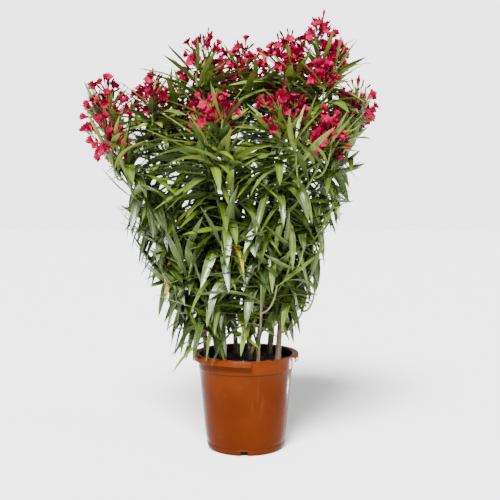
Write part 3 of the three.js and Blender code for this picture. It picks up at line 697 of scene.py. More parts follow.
# %% The boughs of a fork start side by side, each turned towards its own head
def bough_starts(curve, heads):
    end = curve.at(1)
    along = curve.along(1)
    side = curve.square(1, 0)
    lift = curve.square(1, math.pi / 2)
    turns = []
    for index, head in enumerate(heads):
        way = head_place(head) - end
        turns.append((math.atan2(way.dot(lift), way.dot(side)), index))
    turns.sort()
    step = 2 * math.pi / len(heads)
    sine = sum(math.sin(angle - order * step) for order, (angle, _) in enumerate(turns))
    cosine = sum(math.cos(angle - order * step) for order, (angle, _) in enumerate(turns))
    phase = math.atan2(sine, cosine)
    offset = BOUGH_RADIUS / math.sin(math.pi / len(heads)) * BOUGH_CLOSENESS
    starts = {}
    for order, (_, index) in enumerate(turns):
        starts[index] = end + curve.square(1, phase + order * step) * offset - along * BOUGH_SINK
    return starts


# %% [markdown]
# ## The limbs
# Young oleander bark is smooth, green above and grey-brown below, ringed by the scars of fallen
# leaves. Each limb is drawn as a curve with a round section that tapers, turned into a mesh, and its
# surface is then lifted into ridges and scars, so that the relief is in the shape.

# %% A barked limb from a curve
LIMB_STEP = 4.0
LIMB_RESOLUTION = 5
MERGE_BELOW = 0.00002
RIDGE_ACROSS = 0.35
RIDGE_ALONG = 0.05
RIDGE_LIFT = 0.34
WART_SCALE = 0.22
WART_LIFT = 0.5
SCAR_STEP = 27.0
SCAR_WIDTH = 0.06
SCAR_LIFT = 0.55
FULL_RELIEF_RADIUS = 5


def relief(place, run, phase):
    across = place.x * RIDGE_ACROSS, place.y * RIDGE_ACROSS
    ridges = noise.noise(Vector((*across, place.z * RIDGE_ALONG)))
    warts = noise.noise(place * WART_SCALE + Vector((3.1, 7.7, 1.3)))
    nearest = (run / SCAR_STEP + phase) % 1 - 0.5
    scar = math.exp(-(nearest / SCAR_WIDTH) ** 2)
    return ridges * RIDGE_LIFT + max(warts, 0) * WART_LIFT + scar * SCAR_LIFT


def limb(name, curve, radius_at, phase):
    length = curve.length()
    count = max(int(length / LIMB_STEP), 6)
    deselect()
    bpy.ops.curve.primitive_bezier_curve_add()
    made = bpy.context.object
    made.name = name
    shape = made.data
    shape.splines.clear()
    spline = shape.splines.new("POLY")
    spline.points.add(count)
    centres = [curve.at(i / count) for i in range(count + 1)]
    for i, centre in enumerate(centres):
        spline.points[i].co = (*(centre * MM), 1)
        spline.points[i].radius = radius_at(i / count)
    shape.dimensions = "3D"
    shape.bevel_depth = MM
    shape.bevel_resolution = LIMB_RESOLUTION
    shape.use_fill_caps = True
    bpy.ops.object.convert(target="MESH")
    made = bpy.context.object
    settled(made)
    bpy.ops.object.mode_set(mode="EDIT")
    bpy.ops.mesh.select_all(action="SELECT")
    bpy.ops.mesh.remove_doubles(threshold=MERGE_BELOW)
    turn_faces_outwards()
    bpy.ops.object.mode_set(mode="OBJECT")
    for corner in made.data.vertices:
        place = corner.co / MM
        nearest = min(range(count + 1), key=lambda i: (centres[i] - place).length_squared)
        out = (place - centres[nearest]).normalized()
        lift = relief(place, nearest / count * length, phase)
        corner.co += out * lift * MM * min(radius_at(nearest / count) / FULL_RELIEF_RADIUS, 1)
    bpy.ops.object.shade_smooth()
    return made


# %% The limbs of each stem are joined, stem and boughs together, and its shoots are listed
BOUGH_RADII = (4.4, 3.4)
STEM_PHASE = 0.37
BOUGH_PHASE = 0.4


def low_curve(curve, bearing, share, reach, rise):
    start = curve.at(share)
    out = polar(bearing, 1, 0)
    end = start + out * reach + UP * rise
    return Curve(start, start + out * reach * 0.55, end - UP * rise * 0.5, end)


limbs = {}
shoots = []
for order, (name, stem) in enumerate(STEMS.items()):
    curve = stem_curve(stem)
    part = limb(
        f"limbs_{name}", curve, lambda share: stem_radius(stem.thickness, share), order * STEM_PHASE
    )
    parts = [part]
    starts = bough_starts(curve, stem.heads)
    for index, head in enumerate(stem.heads):
        whole = head_curve(starts[index], curve.along(1), head)
        bough = stretch(whole, 0, BOUGH_SHARE)
        part = limb(
            f"bough_{name}", bough, lambda share: mix(*BOUGH_RADII, share), index * BOUGH_PHASE
        )
        parts.append(part)
        kind = "flowering" if head.flowering else "top"
        shoots.append((name, kind, stretch(whole, BOUGH_SHARE, 1), head))
        shoots.append((name, "bough", bough, None))
    pick(*parts)
    bpy.ops.object.join()
    limbs[name] = bpy.context.object
    for low in stem.lows:
        shoots.append((name, "low", low_curve(curve, *low), None))
    shoots.append((name, "stem", curve, None))
    report(limbs[name])

# %% [markdown]
# The bark is grey-brown and dull at the foot, and passes to smooth olive green above. Pale flecks
# and darker rings break it up. The change of colour follows the height and a slow noise.

# %% The bark's finish
BARK_DARK = colour(0.034, 0.024, 0.012)
BARK_GREY = colour(0.130, 0.098, 0.048)
BARK_GREEN = colour(0.075, 0.095, 0.018)
BARK_FLECK = colour(0.22, 0.18, 0.10)

bark = Finish("bark", 0.8)
spot = bark.place()
height = bark.axis(spot, "Z")
fibres = bark.cloud(bark.stretched(spot, (420.0, 420.0, 60.0)), 1.0, 4.0, 0.6)
patches = bark.cloud(spot, 34.0, 3.0)
flecks = bark.mask(bark.cloud(spot, 310.0, 2.0), 0.66, 0.74)
woody = bark.blend(bark.mask(fibres, 0.32, 0.66), BARK_DARK, BARK_GREY)
green = bark.blend(bark.mask(fibres, 0.3, 0.75) * 0.5, BARK_GREEN, BARK_GREY)
woody = bark.blend(bark.mask(height + patches * 0.2, 0.45, 0.66), woody, green)
bark.use("Base Color", bark.blend(flecks * 0.5, woody, BARK_FLECK))
bark.use("Roughness", 0.9 - bark.mask(height, 0.45, 0.7) * 0.3)
bark.bump(fibres + patches * 0.5, 0.7, 0.0012)
for name, made in limbs.items():
    made.data.materials.clear()
    made.data.materials.append(bark.material)
    boughs = [f"bough_{name}_{index + 1}" for index in range(len(STEMS[name].heads))]
    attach(made, "root")
    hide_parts(f"stem_{name}", *boughs)
print("finish", bark.material.name, "on", len(limbs), "limbs")

# %% [markdown]
# ## Where leaves and flowers may be
# The crown has a reach for each height, and each shoot keeps to the space round itself. A leaf that
# would leave that space, or pass through the pot, is thrown again with more stray.

# %% The space of the crown
CROWN_MIDDLE = Vector((-32, 10, 0))
CROWN_DEPTH_SHARE = 0.9
# Pairs of a height and how far the crown reaches there, from its middle and on the right
CROWN_REACH = [(180, 165), (300, 195), (420, 245), (700, 345), (900, 425), (1010, 432), (1200, 300)]
CROWN_RIGHT = [(180, 118), (300, 142), (420, 196), (600, 256), (700, 306), (950, 352), (1200, 330)]
SHOOT_SPACE = 220
POT_TOP = 274
POT_OUTSIDE = 159
POT_INSIDE = 121
ABOVE_SOIL = 4
LOWEST = 244
LOWEST_ON_RIGHT = 286
RIGHT_FROM = 45


def step_between(table, height):
    for (low, near), (high, far) in zip(table, table[1:]):
        if low < height <= high:
            return mix(near, far, (height - low) / (high - low))
    return 0


def clear_of_pot(point):
    radius = point.xy.length
    if point.z > POT_TOP or radius > POT_OUTSIDE:
        return point.z > (LOWEST_ON_RIGHT if point.x > RIGHT_FROM else LOWEST)
    return radius < POT_INSIDE and point.z > SOIL_MM + ABOVE_SOIL


def in_space(point, axis):
    x = point.x - CROWN_MIDDLE.x
    y = (point.y - CROWN_MIDDLE.y) / CROWN_DEPTH_SHARE
    if math.hypot(x, y) > step_between(CROWN_REACH, point.z):
        return False
    if point.x > step_between(CROWN_RIGHT, point.z) or not clear_of_pot(point):
        return False
    return min((place - point).length for place in axis) < SHOOT_SPACE


# %% [markdown]
# ## Twigs
# Leaves sit in threes, each three turned half a step from the last. A shoot is a green twig with
# such whorls along it. Most shoots carry one or two side twigs with whorls of their own, and the
# tallest flowering shoots have one more, which fills the top of the crown.

# %% Tubes for twigs and stalks
NODE_LENGTH = 0.012
NODE_SWELL = 0.5


# The faces of a closed tube whose corners are listed ring after ring
def tube_faces(rings, sides):
    faces = [[*reversed(range(sides))]]
    for ring in range(rings - 1):
        for k in range(sides):
            here = ring * sides + k
            beside = ring * sides + (k + 1) % sides
            faces.append([here, beside, beside + sides, here + sides])
    faces.append([(rings - 1) * sides + k for k in range(sides)])
    return faces


def tube(gathering, curve, radius_at, sides, steps, tone, reach=1):
    corners = []
    uvs = []
    for i in range(steps + 1):
        share = reach * i / steps
        for k in range(sides):
            way = curve.square(share, 2 * math.pi * k / sides)
            corners.append(curve.at(share) + way * radius_at(share))
            uvs.append((k / sides, share))
    faces = tube_faces(steps + 1, sides)
    gathering.add(corners, faces, uvs, tone, [0] * len(faces))


def swollen(start, end, nodes):
    def radius_at(share):
        swell = sum(math.exp(-((share - node) / NODE_LENGTH) ** 2) for node in nodes)
        return mix(start, end, share) + NODE_SWELL * min(swell, 1)

    return radius_at


# %% The places of a twig where leaves can grow
# How each kind of shoot is set with whorls: how many, from and to which share of its length, and
# the age of its lowest and highest leaves. Stems and boughs carry old leaves only.
Whorls = namedtuple("Whorls", "number low high oldest youngest")
WHORLS = {
    "flowering": Whorls(11, 0.05, 0.9, 1.0, 0.05),
    "top": Whorls(8, 0.05, 0.97, 1.0, 0.0),
    "low": Whorls(5, 0.16, 0.97, 1.0, 0.2),
    "bough": Whorls(4, 0.15, 0.95, 1.0, 0.8),
    "stem": Whorls(5, 0.46, 0.97, 1.0, 0.85),
    "side": Whorls(5, 0.36, 0.95, 0.55, 0.05),
}
Place = namedtuple("Place", "curve share age outward")


def leaf_places(curve, whorls, turn):
    places = []
    for index in range(whorls.number):
        up = index / (whorls.number - 1)
        share = mix(whorls.low, whorls.high, up)
        age = mix(whorls.oldest, whorls.youngest, up)
        for side in range(3):
            angle = turn + (index + 2 * side + 1) * math.pi / 3
            places.append(Place(curve, share, age, curve.square(share, angle)))
    return places


# %% The side twigs
# Each is the share of the shoot where it starts, and its length
SIDE_TWIGS = {
    "flowering": [(0.56, 135), (0.3, 150)],
    "top": [(0.9, 105), (0.8, 110)],
    "low": [(0.6, 95)],
    "bough": [],
    "stem": [(0.7, 120), (0.88, 120)],
}
TALL_TWIG = [(0.62, 92)]
TALL_FROM = 1040
TOP_SHOOTS = {"flowering", "top"}
BARE_WOOD = {"stem", "bough"}
TURN = math.radians(137.5)


# A side twig leaves the crown's middle behind it and rises, and is left out where it has no space
def side_twig(curve, share, length, number, axis, dice):
    outward = curve.square(share, number * TURN + dice.spread(0.6))
    away = (curve.at(share) - CROWN_MIDDLE) * Vector((1, 1, 0))
    if outward.dot(away) < 0:
        outward = -outward
    reach = length * dice.between(0.9, 1.2)
    root = curve.at(share)
    bend = root + outward * reach * 0.35 + UP * reach * 0.1
    end = root + outward * reach * 0.45 + UP * reach * 0.85
    return Curve(root, bend, end) if in_space(end, axis) else None


# %% Each shoot knows its twigs, its places for leaves, the line it keeps near, and its own dice
TWIG_RADII = {"flowering": (3.9, 2.6), "top": (3.9, 2.6), "low": (2.7, 1.9)}
TWIG_STEPS = 44
SIDE_RADII = (2.9, 2.1)
SIDE_STEPS = 20
SIDE_TURN = math.pi / 6
SHOOT_TURN = 0.7
AXIS_STEPS = 12


class Shoot:
    def __init__(self, seed, stem, kind, curve, head):
        self.stem = stem
        self.kind = kind
        self.curve = curve
        self.blooms = head.blooms if head else 0
        self.tall = head is not None and head.height > TALL_FROM
        self.dice = Dice(seed)
        self.axis = [curve.at(i / AXIS_STEPS) for i in range(AXIS_STEPS + 1)]
        self.places = leaf_places(curve, WHORLS[kind], seed * SHOOT_TURN)
        self.plans = []
        self.sides = []
        if kind not in BARE_WOOD:
            self.plan(curve, TWIG_RADII[kind], TWIG_STEPS, self.places, 0)
        twigs = SIDE_TWIGS[kind] + (TALL_TWIG if self.tall else [])
        for number, (share, length) in enumerate(twigs):
            self.fork(share, length, number + seed)

    # A plan is a twig's curve, radius, steps and tone, and the share at which it leaves its shoot
    def plan(self, curve, radii, steps, places, joint):
        radius_at = swollen(*radii, sorted({place.share for place in places}))
        self.plans.append((curve, radius_at, steps, joint, self.dice.roll()))

    def fork(self, share, length, number):
        side = side_twig(self.curve, share, length, number, self.axis, self.dice)
        if side:
            places = leaf_places(side, WHORLS["side"], SIDE_TURN)
            self.plan(side, SIDE_RADII, SIDE_STEPS, places, share)
            self.places += places
            self.sides.append(side)


grown = [Shoot(seed, *shoot) for seed, shoot in enumerate(shoots, start=1)]
print("shoots", len(grown), "places for leaves", sum(len(shoot.places) for shoot in grown))

# %% [markdown]
# ## Leaves
# An oleander leaf is long and narrow, widest at its middle and pointed at both ends. It is folded a
# little along a pale midrib, stiff and glossy above and matte grey-green below. Each is a closed
# blade: four faces across its top, two across its underside, and a short stalk. Old leaves arch over
# and hang, and young ones stand up. The bend, roll, twist and sweep of every leaf are thrown afresh.

# %% The leaf's outline: share of its length, and share of its full width
LEAF_OUTLINE = [
    (0.0, 0.10), (0.045, 0.11), (0.13, 0.44), (0.26, 0.80), (0.42, 1.0),
    (0.58, 0.97), (0.73, 0.77), (0.86, 0.48), (0.95, 0.20),
]
LEAF_LENGTH = 200
LEAF_WIDTH = 28
LEAF_THICKNESS = 0.5
# How far a leaf leans forward along its twig, and rises or dips with the side it grows on
LEAF_FORWARD = 0.7
LEAF_TILT = 25
# Slopes in degrees, of the youngest and the oldest leaf
ROOT_SLOPES = (58, 28)
TIP_SLOPES = (56, -58)
TIP_EASE = 0.68
HANGING = -76
# How much each kind of shoot droops, and what that takes off the slopes
DROOP = {"flowering": 0, "top": 0.2, "low": 0.9, "bough": 0.5, "stem": 0.9}
ROOT_DROOP = 20
TIP_DROOP = 12
# Young leaves are smaller and slimmer, and so is each new throw of a leaf that found no space
SMALLEST = 0.74
YOUNG_SIZE = 0.6
YOUNG_UNTIL = 0.4
SLIM = 0.66
SLIM_UNTIL = 0.6
TRIES = 9
TRY_SPREAD = 0.35
TRY_SIZE = 0.97
# How far leaves stray from the rule to both sides, in degrees, and what else is thrown
BEARING_STRAY = 18
ROOT_STRAY = 12
TIP_STRAY = 20
ROLL_STRAY = 24
SWEEP = 0.4
WAVE = 0.03
EASES = (1.6, 3.6)
FOLDS = (0.1, 0.3)
LENGTH_SHARES = (0.9, 1.12)
WIDTH_SHARES = (0.8, 1.06)
WIDTH_POWER = 1.1


def leaf_size(kind, age):
    size = mix(SMALLEST, 1, math.sin(math.pi * mix(0.2, 0.75, age)))
    if kind in TOP_SHOOTS:
        size *= mix(YOUNG_SIZE, 1, min(age / YOUNG_UNTIL, 1))
    return size


def new_leaf(place, kind, dice, attempt):
    age = place.age
    stray = 1 + attempt * TRY_SPREAD
    way = place.outward + place.curve.along(place.share) * LEAF_FORWARD
    size = leaf_size(kind, age) * TRY_SIZE ** attempt
    droop = DROOP[kind]
    root_slope = mix(*ROOT_SLOPES, age) + LEAF_TILT * place.outward.z - droop * ROOT_DROOP
    tip_slope = mix(*TIP_SLOPES, age ** TIP_EASE) - droop * TIP_DROOP
    slim = mix(SLIM, 1, min(age / SLIM_UNTIL, 1))
    return {
        "bearing": math.atan2(way.y, way.x) + math.radians(dice.spread(BEARING_STRAY * stray)),
        "root": math.radians(root_slope + dice.spread(ROOT_STRAY * stray)),
        "tip": math.radians(max(tip_slope + dice.spread(TIP_STRAY * stray), HANGING)),
        "ease": dice.between(*EASES),
        "length": LEAF_LENGTH * size * dice.between(*LENGTH_SHARES),
        "width": LEAF_WIDTH * size ** WIDTH_POWER * slim * dice.between(*WIDTH_SHARES),
        "roll": math.radians(dice.spread(ROLL_STRAY)),
        "twist": math.radians(dice.spread(ROLL_STRAY)),
        "sweep": dice.spread(SWEEP),
        "fold": dice.between(*FOLDS),
        "wave": dice.spread(WAVE),
    }


# %% The corners of a leaf: it bends most near its stalk, and then hangs almost straight
WAVE_TURNS = 15
BELLY_LIFT = 0.36
BELLY_WIDTH = 0.52
STALK_DEPTH = 0.7


def leaf_frames(root, leaf):
    frames = []
    place = root
    before = 0
    for share, width in [*LEAF_OUTLINE, (1.0, 0.0)]:
        middle = (before + share) / 2
        slope = mix(leaf["root"], leaf["tip"], 1 - (1 - middle) ** leaf["ease"])
        bearing = leaf["bearing"] + leaf["sweep"] * middle
        out = Vector((math.cos(bearing), math.sin(bearing), 0))
        level = Vector((-math.sin(bearing), math.cos(bearing), 0))
        way = out * math.cos(slope) + UP * math.sin(slope)
        place = place + way * leaf["length"] * (share - before)
        face = UP * math.cos(slope) - out * math.sin(slope)
        roll = leaf["roll"] + leaf["twist"] * share
        across = level * math.cos(roll) + face * math.sin(roll)
        normal = face * math.cos(roll) - level * math.sin(roll)
        frames.append((share, width, place, across, normal))
        before = share
    return frames


def leaf_corners(root, leaf):
    corners = []
    uvs = []
    frames = leaf_frames(root, leaf)
    for share, width, spine, across, normal in frames[:-1]:
        half = leaf["width"] / 2 * width
        wave = leaf["wave"] * leaf["width"] * math.sin(share * WAVE_TURNS)
        lift = normal * (half * leaf["fold"] + wave * width)
        edge = across * half
        belly = normal * (half * leaf["fold"] * BELLY_LIFT)
        corners += [spine + lift + edge, spine + belly + edge * BELLY_WIDTH, spine]
        corners += [spine + belly - edge * BELLY_WIDTH, spine + lift - edge]
        corners.append(spine - normal * (LEAF_THICKNESS + STALK_DEPTH * (1 - share)))
        uvs += [(0, share), (0.24, share), (0.5, share), (0.76, share), (1, share), (0.5, share)]
    return corners + [frames[-1][2]], uvs + [(0.5, 1)]


# Six corners at each share of the length, four faces above and two below, and the point
LEAF_FACES = []
LEAF_SIDES = []
for ring in range(len(LEAF_OUTLINE) - 1):
    a = ring * 6
    b = a + 6
    for k in range(4):
        LEAF_FACES.append([a + k, b + k, b + k + 1, a + k + 1])
    LEAF_FACES += [[a, a + 5, b + 5, b], [a + 5, a + 4, b + 4, b + 5]]
    LEAF_SIDES += [0, 0, 0, 0, 1, 1]
last = (len(LEAF_OUTLINE) - 1) * 6
tip = last + 6
LEAF_FACES += [[last + k, tip, last + k + 1] for k in range(4)]
LEAF_FACES += [[last, last + 5, tip], [last + 5, last + 4, tip], [0, 1, 2, 3, 4, 5]]
LEAF_SIDES += [0, 0, 0, 0, 1, 1, 1]
print("faces of a leaf", len(LEAF_FACES))

# %% Every place is given its leaf
LEAF_SHARP = 50
LEAF_START = 2.0
YOUNG_AGE = 0.42
YOUNG_CHANCE = 0.8
YELLOW_AGE = 0.7
YELLOW_CHANCE = 0.02
# The share of each kind of shoot's leaves that are the lit middle green; the rest are the deep green,
# which is painted shade, and front stems get more lit leaves
LIT_LEAF_CHANCE = {"flowering": 0.66, "top": 0.95, "low": 0.4, "bough": 0.4, "stem": 0.2}
FRONT_STEMS = {"front", "front_right"}
FRONT_LIT_CHANCE = 0.3


# Yellow and young leaves have their own colour; the others are the lit middle green or the deep green
# of painted shade
def leaf_colour_and_shade(shoot, age):
    chance = shoot.dice.roll()
    if age > YELLOW_AGE and chance < YELLOW_CHANCE:
        return "yellow"
    if age < YOUNG_AGE and shoot.kind in TOP_SHOOTS:
        return "young" if chance < YOUNG_CHANCE else "middle"
    lit_chance = LIT_LEAF_CHANCE[shoot.kind] + (FRONT_LIT_CHANCE if shoot.stem in FRONT_STEMS else 0)
    return "middle" if chance < lit_chance else "deep"


# Adds a leaf at a place, and says whether it found the space
def add_leaf(shoot, place):
    root = place.curve.at(place.share) + place.outward * LEAF_START
    for attempt in range(TRIES):
        corners, uvs = leaf_corners(root, new_leaf(place, shoot.kind, shoot.dice, attempt))
        if all(in_space(corner, shoot.axis) for corner in corners[6:]):
            gathering = leaves[leaf_colour_and_shade(shoot, place.age)]
            gathering.add(corners, LEAF_FACES, uvs, shoot.dice.roll(), LEAF_SIDES)
            return True
    return False


leaves = {name: Gathering() for name in ("deep", "middle", "young", "yellow")}
count = 0
last_leaf = {}
for shoot in grown:
    for place in shoot.places:
        if add_leaf(shoot, place):
            last_leaf[place.curve] = max(last_leaf.get(place.curve, 0), place.share)
            count += 1
print("leaves", count)

# %% The twigs are drawn once their leaves are known: a low one ends at its last leaf or side twig
TWIG_SIDES = 8
TWIG_END = 0.015
twigs = Gathering()
for shoot in grown:
    farthest = 0
    for curve, radius_at, steps, joint, tone in reversed(shoot.plans):
        last_joint = farthest if curve is shoot.curve else 0
        reach = max(last_leaf.get(curve, 0), last_joint) + TWIG_END
        if shoot.kind in TOP_SHOOTS:
            reach = 1
        if reach > TWIG_END:
            tube(twigs, curve, radius_at, TWIG_SIDES, steps, tone, reach)
            farthest = max(farthest, joint)
print("corners of twigs", len(twigs.corners))

# %% One long leaf leans out over the rim on the left
OVER_RIM_ROOT = Vector((-62, -66, 318))
over_rim = {
    "bearing": math.radians(208), "root": math.radians(6), "tip": math.radians(-58), "ease": 1.3,
    "length": 182, "width": 22, "roll": 0.15, "twist": -0.3, "sweep": -0.1, "fold": 0.2, "wave": 0.02,
}
corners, uvs = leaf_corners(OVER_RIM_ROOT, over_rim)
leaves["middle"].add(corners, LEAF_FACES, uvs, 0.8, LEAF_SIDES)
print("lowest leaf tip", round(corners[-1].z), "mm")

# %% [markdown]
# The top of a leaf is dark green and glossy, with a pale midrib and very fine side veins that run
# almost straight to the edge. The finish reads the leaf's own UV for them, and the `tone` for the
# difference from leaf to leaf. The underside is paler and duller.


# %% The leaves' finishes
VEIN_SLANT = 0.22
VEIN_COUNT = 420
TOP_SHINE = (0.3, 0.85)
UNDERSIDE_SHINE = (0.62, 0.25)


def leaf_finish(name, dark, light, rib, roughness, gloss):
    finish = Finish(name, roughness)
    along = finish.uv("Y")
    aside = finish.maths("ABSOLUTE", finish.uv("X") - 0.5)
    midrib = 1 - finish.mask(aside + along * 0.02, 0.022, 0.05)
    veins = finish.maths("SINE", (along - aside * VEIN_SLANT) * VEIN_COUNT)
    clouds = finish.cloud(finish.place(), 46.0, 3.0)
    share = finish.tone() * 0.55 + finish.mask(clouds, 0.35, 0.7) * 0.35 + veins * 0.05
    blade = finish.blend(share, dark, light)
    blade = finish.blend(finish.mask(aside, 0.44, 0.5) * 0.35, blade, rib)
    finish.use("Base Color", finish.blend(midrib * 0.7, blade, rib))
    finish.use("Roughness", clouds * 0.2 + (roughness - 0.1))
    finish.use("Specular IOR Level", gloss)
    finish.bump(veins * 0.2 + midrib * 0.7 + clouds * 0.4, 0.3, 0.0006)
    return finish


# The deep tops and undersides are painted shade for leaves inside and behind the crown; middle is the
# lit green
LEAF_COLOURS = {
    "deep": (colour(0.006, 0.015, 0.001), colour(0.026, 0.050, 0.003), colour(0.12, 0.17, 0.03)),
    "middle": (colour(0.034, 0.062, 0.003), colour(0.100, 0.146, 0.010), colour(0.24, 0.31, 0.06)),
    "young": (colour(0.070, 0.108, 0.006), colour(0.160, 0.205, 0.014), colour(0.32, 0.37, 0.08)),
    "yellow": (colour(0.300, 0.230, 0.010), colour(0.430, 0.310, 0.014), colour(0.43, 0.36, 0.10)),
}
UNDERSIDES = {
    "deep": (colour(0.028, 0.050, 0.008), colour(0.062, 0.094, 0.018), colour(0.14, 0.19, 0.05)),
    "young": (colour(0.080, 0.115, 0.012), colour(0.160, 0.195, 0.026), colour(0.26, 0.30, 0.07)),
}
undersides = {
    name: leaf_finish(f"leaf_{name}_underside", *shades, *UNDERSIDE_SHINE)
    for name, shades in UNDERSIDES.items()
}
foliage_nodes = sorted(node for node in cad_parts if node.startswith("foliage"))
leaf_tops = {}
for name, gathering in leaves.items():
    leaf_tops[name] = leaf_finish(f"leaf_{name}", *LEAF_COLOURS[name], *TOP_SHINE)
    underside = undersides.get(name, undersides["deep"])
    made = gathering.piece(f"leaves_{name}", [leaf_tops[name], underside], LEAF_SHARP)
    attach(made, "root")
    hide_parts(*foliage_nodes)

# %% The green twigs' finish
TWIG_GREEN = colour(0.075, 0.115, 0.016)
TWIG_PALE = colour(0.14, 0.18, 0.035)
TWIG_BROWN = colour(0.070, 0.055, 0.020)
TWIG_SHARP = 40

green_wood = Finish("green_wood", 0.5)
spot = green_wood.place()
height = green_wood.axis(spot, "Z")
fibres = green_wood.cloud(green_wood.stretched(spot, (300.0, 300.0, 40.0)), 1.0, 3.0)
skin = green_wood.blend(green_wood.mask(fibres, 0.3, 0.7), TWIG_GREEN, TWIG_PALE)
brownness = 1 - green_wood.mask(height + fibres * 0.1, 0.44, 0.62)
green_wood.use("Base Color", green_wood.blend(brownness * 0.85, skin, TWIG_BROWN))
green_wood.use("Roughness", fibres * 0.3 + 0.35)
green_wood.bump(fibres, 0.3, 0.0006)
twig_piece = twigs.piece("green_twigs", [green_wood], TWIG_SHARP)
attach(twig_piece, "root")
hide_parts(*foliage_nodes)

# %% [markdown]
# ## Blossom
# A head is a spray of reddish stalks. Each ends in an open flower, a funnel with five cupped petals
# cut off aslant like the blades of a fan, or in a dark red bud with a furled point. One flower and
# one bud are modelled as lists of corners, and each copy is turned, scaled and opened differently.

# %% One petal is a closed blade, wide and cut aslant
PETAL_RINGS = [(0.0, 0.30), (0.22, 0.66), (0.5, 1.0), (0.8, 0.94), (1.0, 0.54)]
PETAL_LENGTH = 17.5
PETAL_WIDTH = 18.5
MOUTH_RADIUS = 3.6
MOUTH_HEIGHT = 17.0
PETAL_THICKNESS = 0.5
# Each pair is for a goblet and for a wide flower
PETAL_REACH = (0.32, 0.92)
PETAL_RISE = (0.98, 0.5)
PETAL_SPREAD = (0.62, 1)
PETAL_FALL = 6.0
PETAL_SLANT = 2.0
PETAL_CUP = 3.2


# openness 0 is a goblet and 1 is a wide flower
def petal(turn, openness, ruffle):
    corners = []
    uvs = []
    for share, width in PETAL_RINGS:
        for k in range(4):
            side = (k - 1.5) / 1.5
            reach = MOUTH_RADIUS + PETAL_LENGTH * share * mix(*PETAL_REACH, openness)
            fall = PETAL_FALL * openness * share ** 2
            rise = PETAL_LENGTH * share * mix(*PETAL_RISE, openness) - fall
            slant = PETAL_SLANT * side * share
            cup = PETAL_CUP * side * side * share * (1.2 - share * 0.5)
            wobble = ruffle * math.sin(side * 4.2 + turn * 3) * share
            aside = PETAL_WIDTH / 2 * width * side * mix(*PETAL_SPREAD, openness)
            corners.append(Vector((reach + slant, aside, MOUTH_HEIGHT + rise + cup + wobble)))
            uvs.append((0.5 + side / 2, share))
    lower = {}
    for ring in range(1, len(PETAL_RINGS) - 1):
        for k in (1, 2):
            index = ring * 4 + k
            lower[index] = len(corners)
            corners.append(corners[index] - Vector((0, 0, PETAL_THICKNESS)))
            uvs.append(uvs[index])
    turned = Matrix.Rotation(turn, 3, "Z")
    faces = []
    for ring in range(len(PETAL_RINGS) - 1):
        for k in range(3):
            face = [ring * 4 + k, ring * 4 + k + 4, ring * 4 + k + 5, ring * 4 + k + 1]
            faces.append(face)
            faces.append([lower.get(corner, corner) for corner in reversed(face)])
    return [turned @ corner for corner in corners], faces, uvs


# %% A shape turned about the upright axis, from (radius, height) pairs
def turned_shape(outline, sides, furl=0.0):
    corners = []
    uvs = []
    top = outline[-1][1]
    for radius, height in outline:
        for k in range(sides):
            angle = 2 * math.pi * k / sides + furl * height
            corners.append(Vector((radius * math.cos(angle), radius * math.sin(angle), height)))
            uvs.append((k / sides, height / top))
    return corners, tube_faces(len(outline), sides), uvs


FUNNEL = [(1.3, 0), (1.9, 4), (2.3, 8), (3.8, 14), (4.8, 19), (3.4, 18.2), (0.8, 11)]
CALYX = [(1.0, -1.5), (2.3, 0), (2.7, 2.5), (2.5, 5.5), (2.2, 6)]
BUD = [(1.5, 2), (2.4, 6), (3.1, 12), (3.9, 18), (3.8, 22), (2.7, 26.5), (1.3, 29.5), (0.3, 31)]
FLOWER_SIDES = 6
BUD_SIDES = 7
BUD_FURL = 0.045
funnel = turned_shape(FUNNEL, FLOWER_SIDES)
calyx = turned_shape(CALYX, FLOWER_SIDES)
bud = turned_shape(BUD, BUD_SIDES, BUD_FURL)
print("petal faces", len(petal(0, 1, 0)[1]), "bud faces", len(bud[1]))

# %% Flowers, buds and stalks are set at the ends of a spray
PETAL_COUNT = 5
FLOWER_SIZES = (0.80, 1.02)
BUD_SIZES = (0.5, 0.95)
OPENNESS = (0.05, 0.7)
ALL_ROUND = (0, 6.28)
STALK_SIDES = 5
STALK_STEPS = 5
petals = {"left": Gathering(), "right": Gathering()}
buds = Gathering()
stalks = Gathering()


def standing(place, way, turn, size):
    leaning = way.to_track_quat("Z", "Y").to_matrix().to_4x4()
    spun = Matrix.Rotation(turn, 4, "Z") @ Matrix.Scale(size, 4)
    return Matrix.Translation(place) @ leaning @ spun


def stand(gathering, shape, matrix, tone, slot):
    corners, faces, uvs = shape
    moved = [matrix @ corner for corner in corners]
    gathering.add(moved, faces, uvs, tone, [slot] * len(faces))


def add_flower(place, way, dice):
    matrix = standing(place, way, dice.between(*ALL_ROUND), dice.between(*FLOWER_SIZES))
    openness = dice.between(*OPENNESS)
    tone = dice.roll()
    gathering = petals["left" if place.x < CROWN_MIDDLE.x else "right"]
    stand(gathering, funnel, matrix, tone, 1)
    stand(buds, calyx, matrix, tone, 1)
    for k in range(PETAL_COUNT):
        turn = 2 * math.pi * (k + dice.spread(0.05)) / PETAL_COUNT
        blade = petal(turn, min(openness * dice.between(0.85, 1.1), 1), dice.between(0.4, 1.2))
        stand(gathering, blade, matrix, tone, 0)


def add_bud(place, way, dice):
    matrix = standing(place, way, dice.between(*ALL_ROUND), dice.between(*BUD_SIZES))
    tone = dice.roll()
    stand(buds, bud, matrix, tone, 0)
    stand(buds, calyx, matrix, tone, 1)


def add_stalk(start, middle, end, thick, thin, tone):
    curve = Curve(start, middle, end)
    tube(stalks, curve, lambda share: mix(thick, thin, share), STALK_SIDES, STALK_STEPS, tone)
    return curve


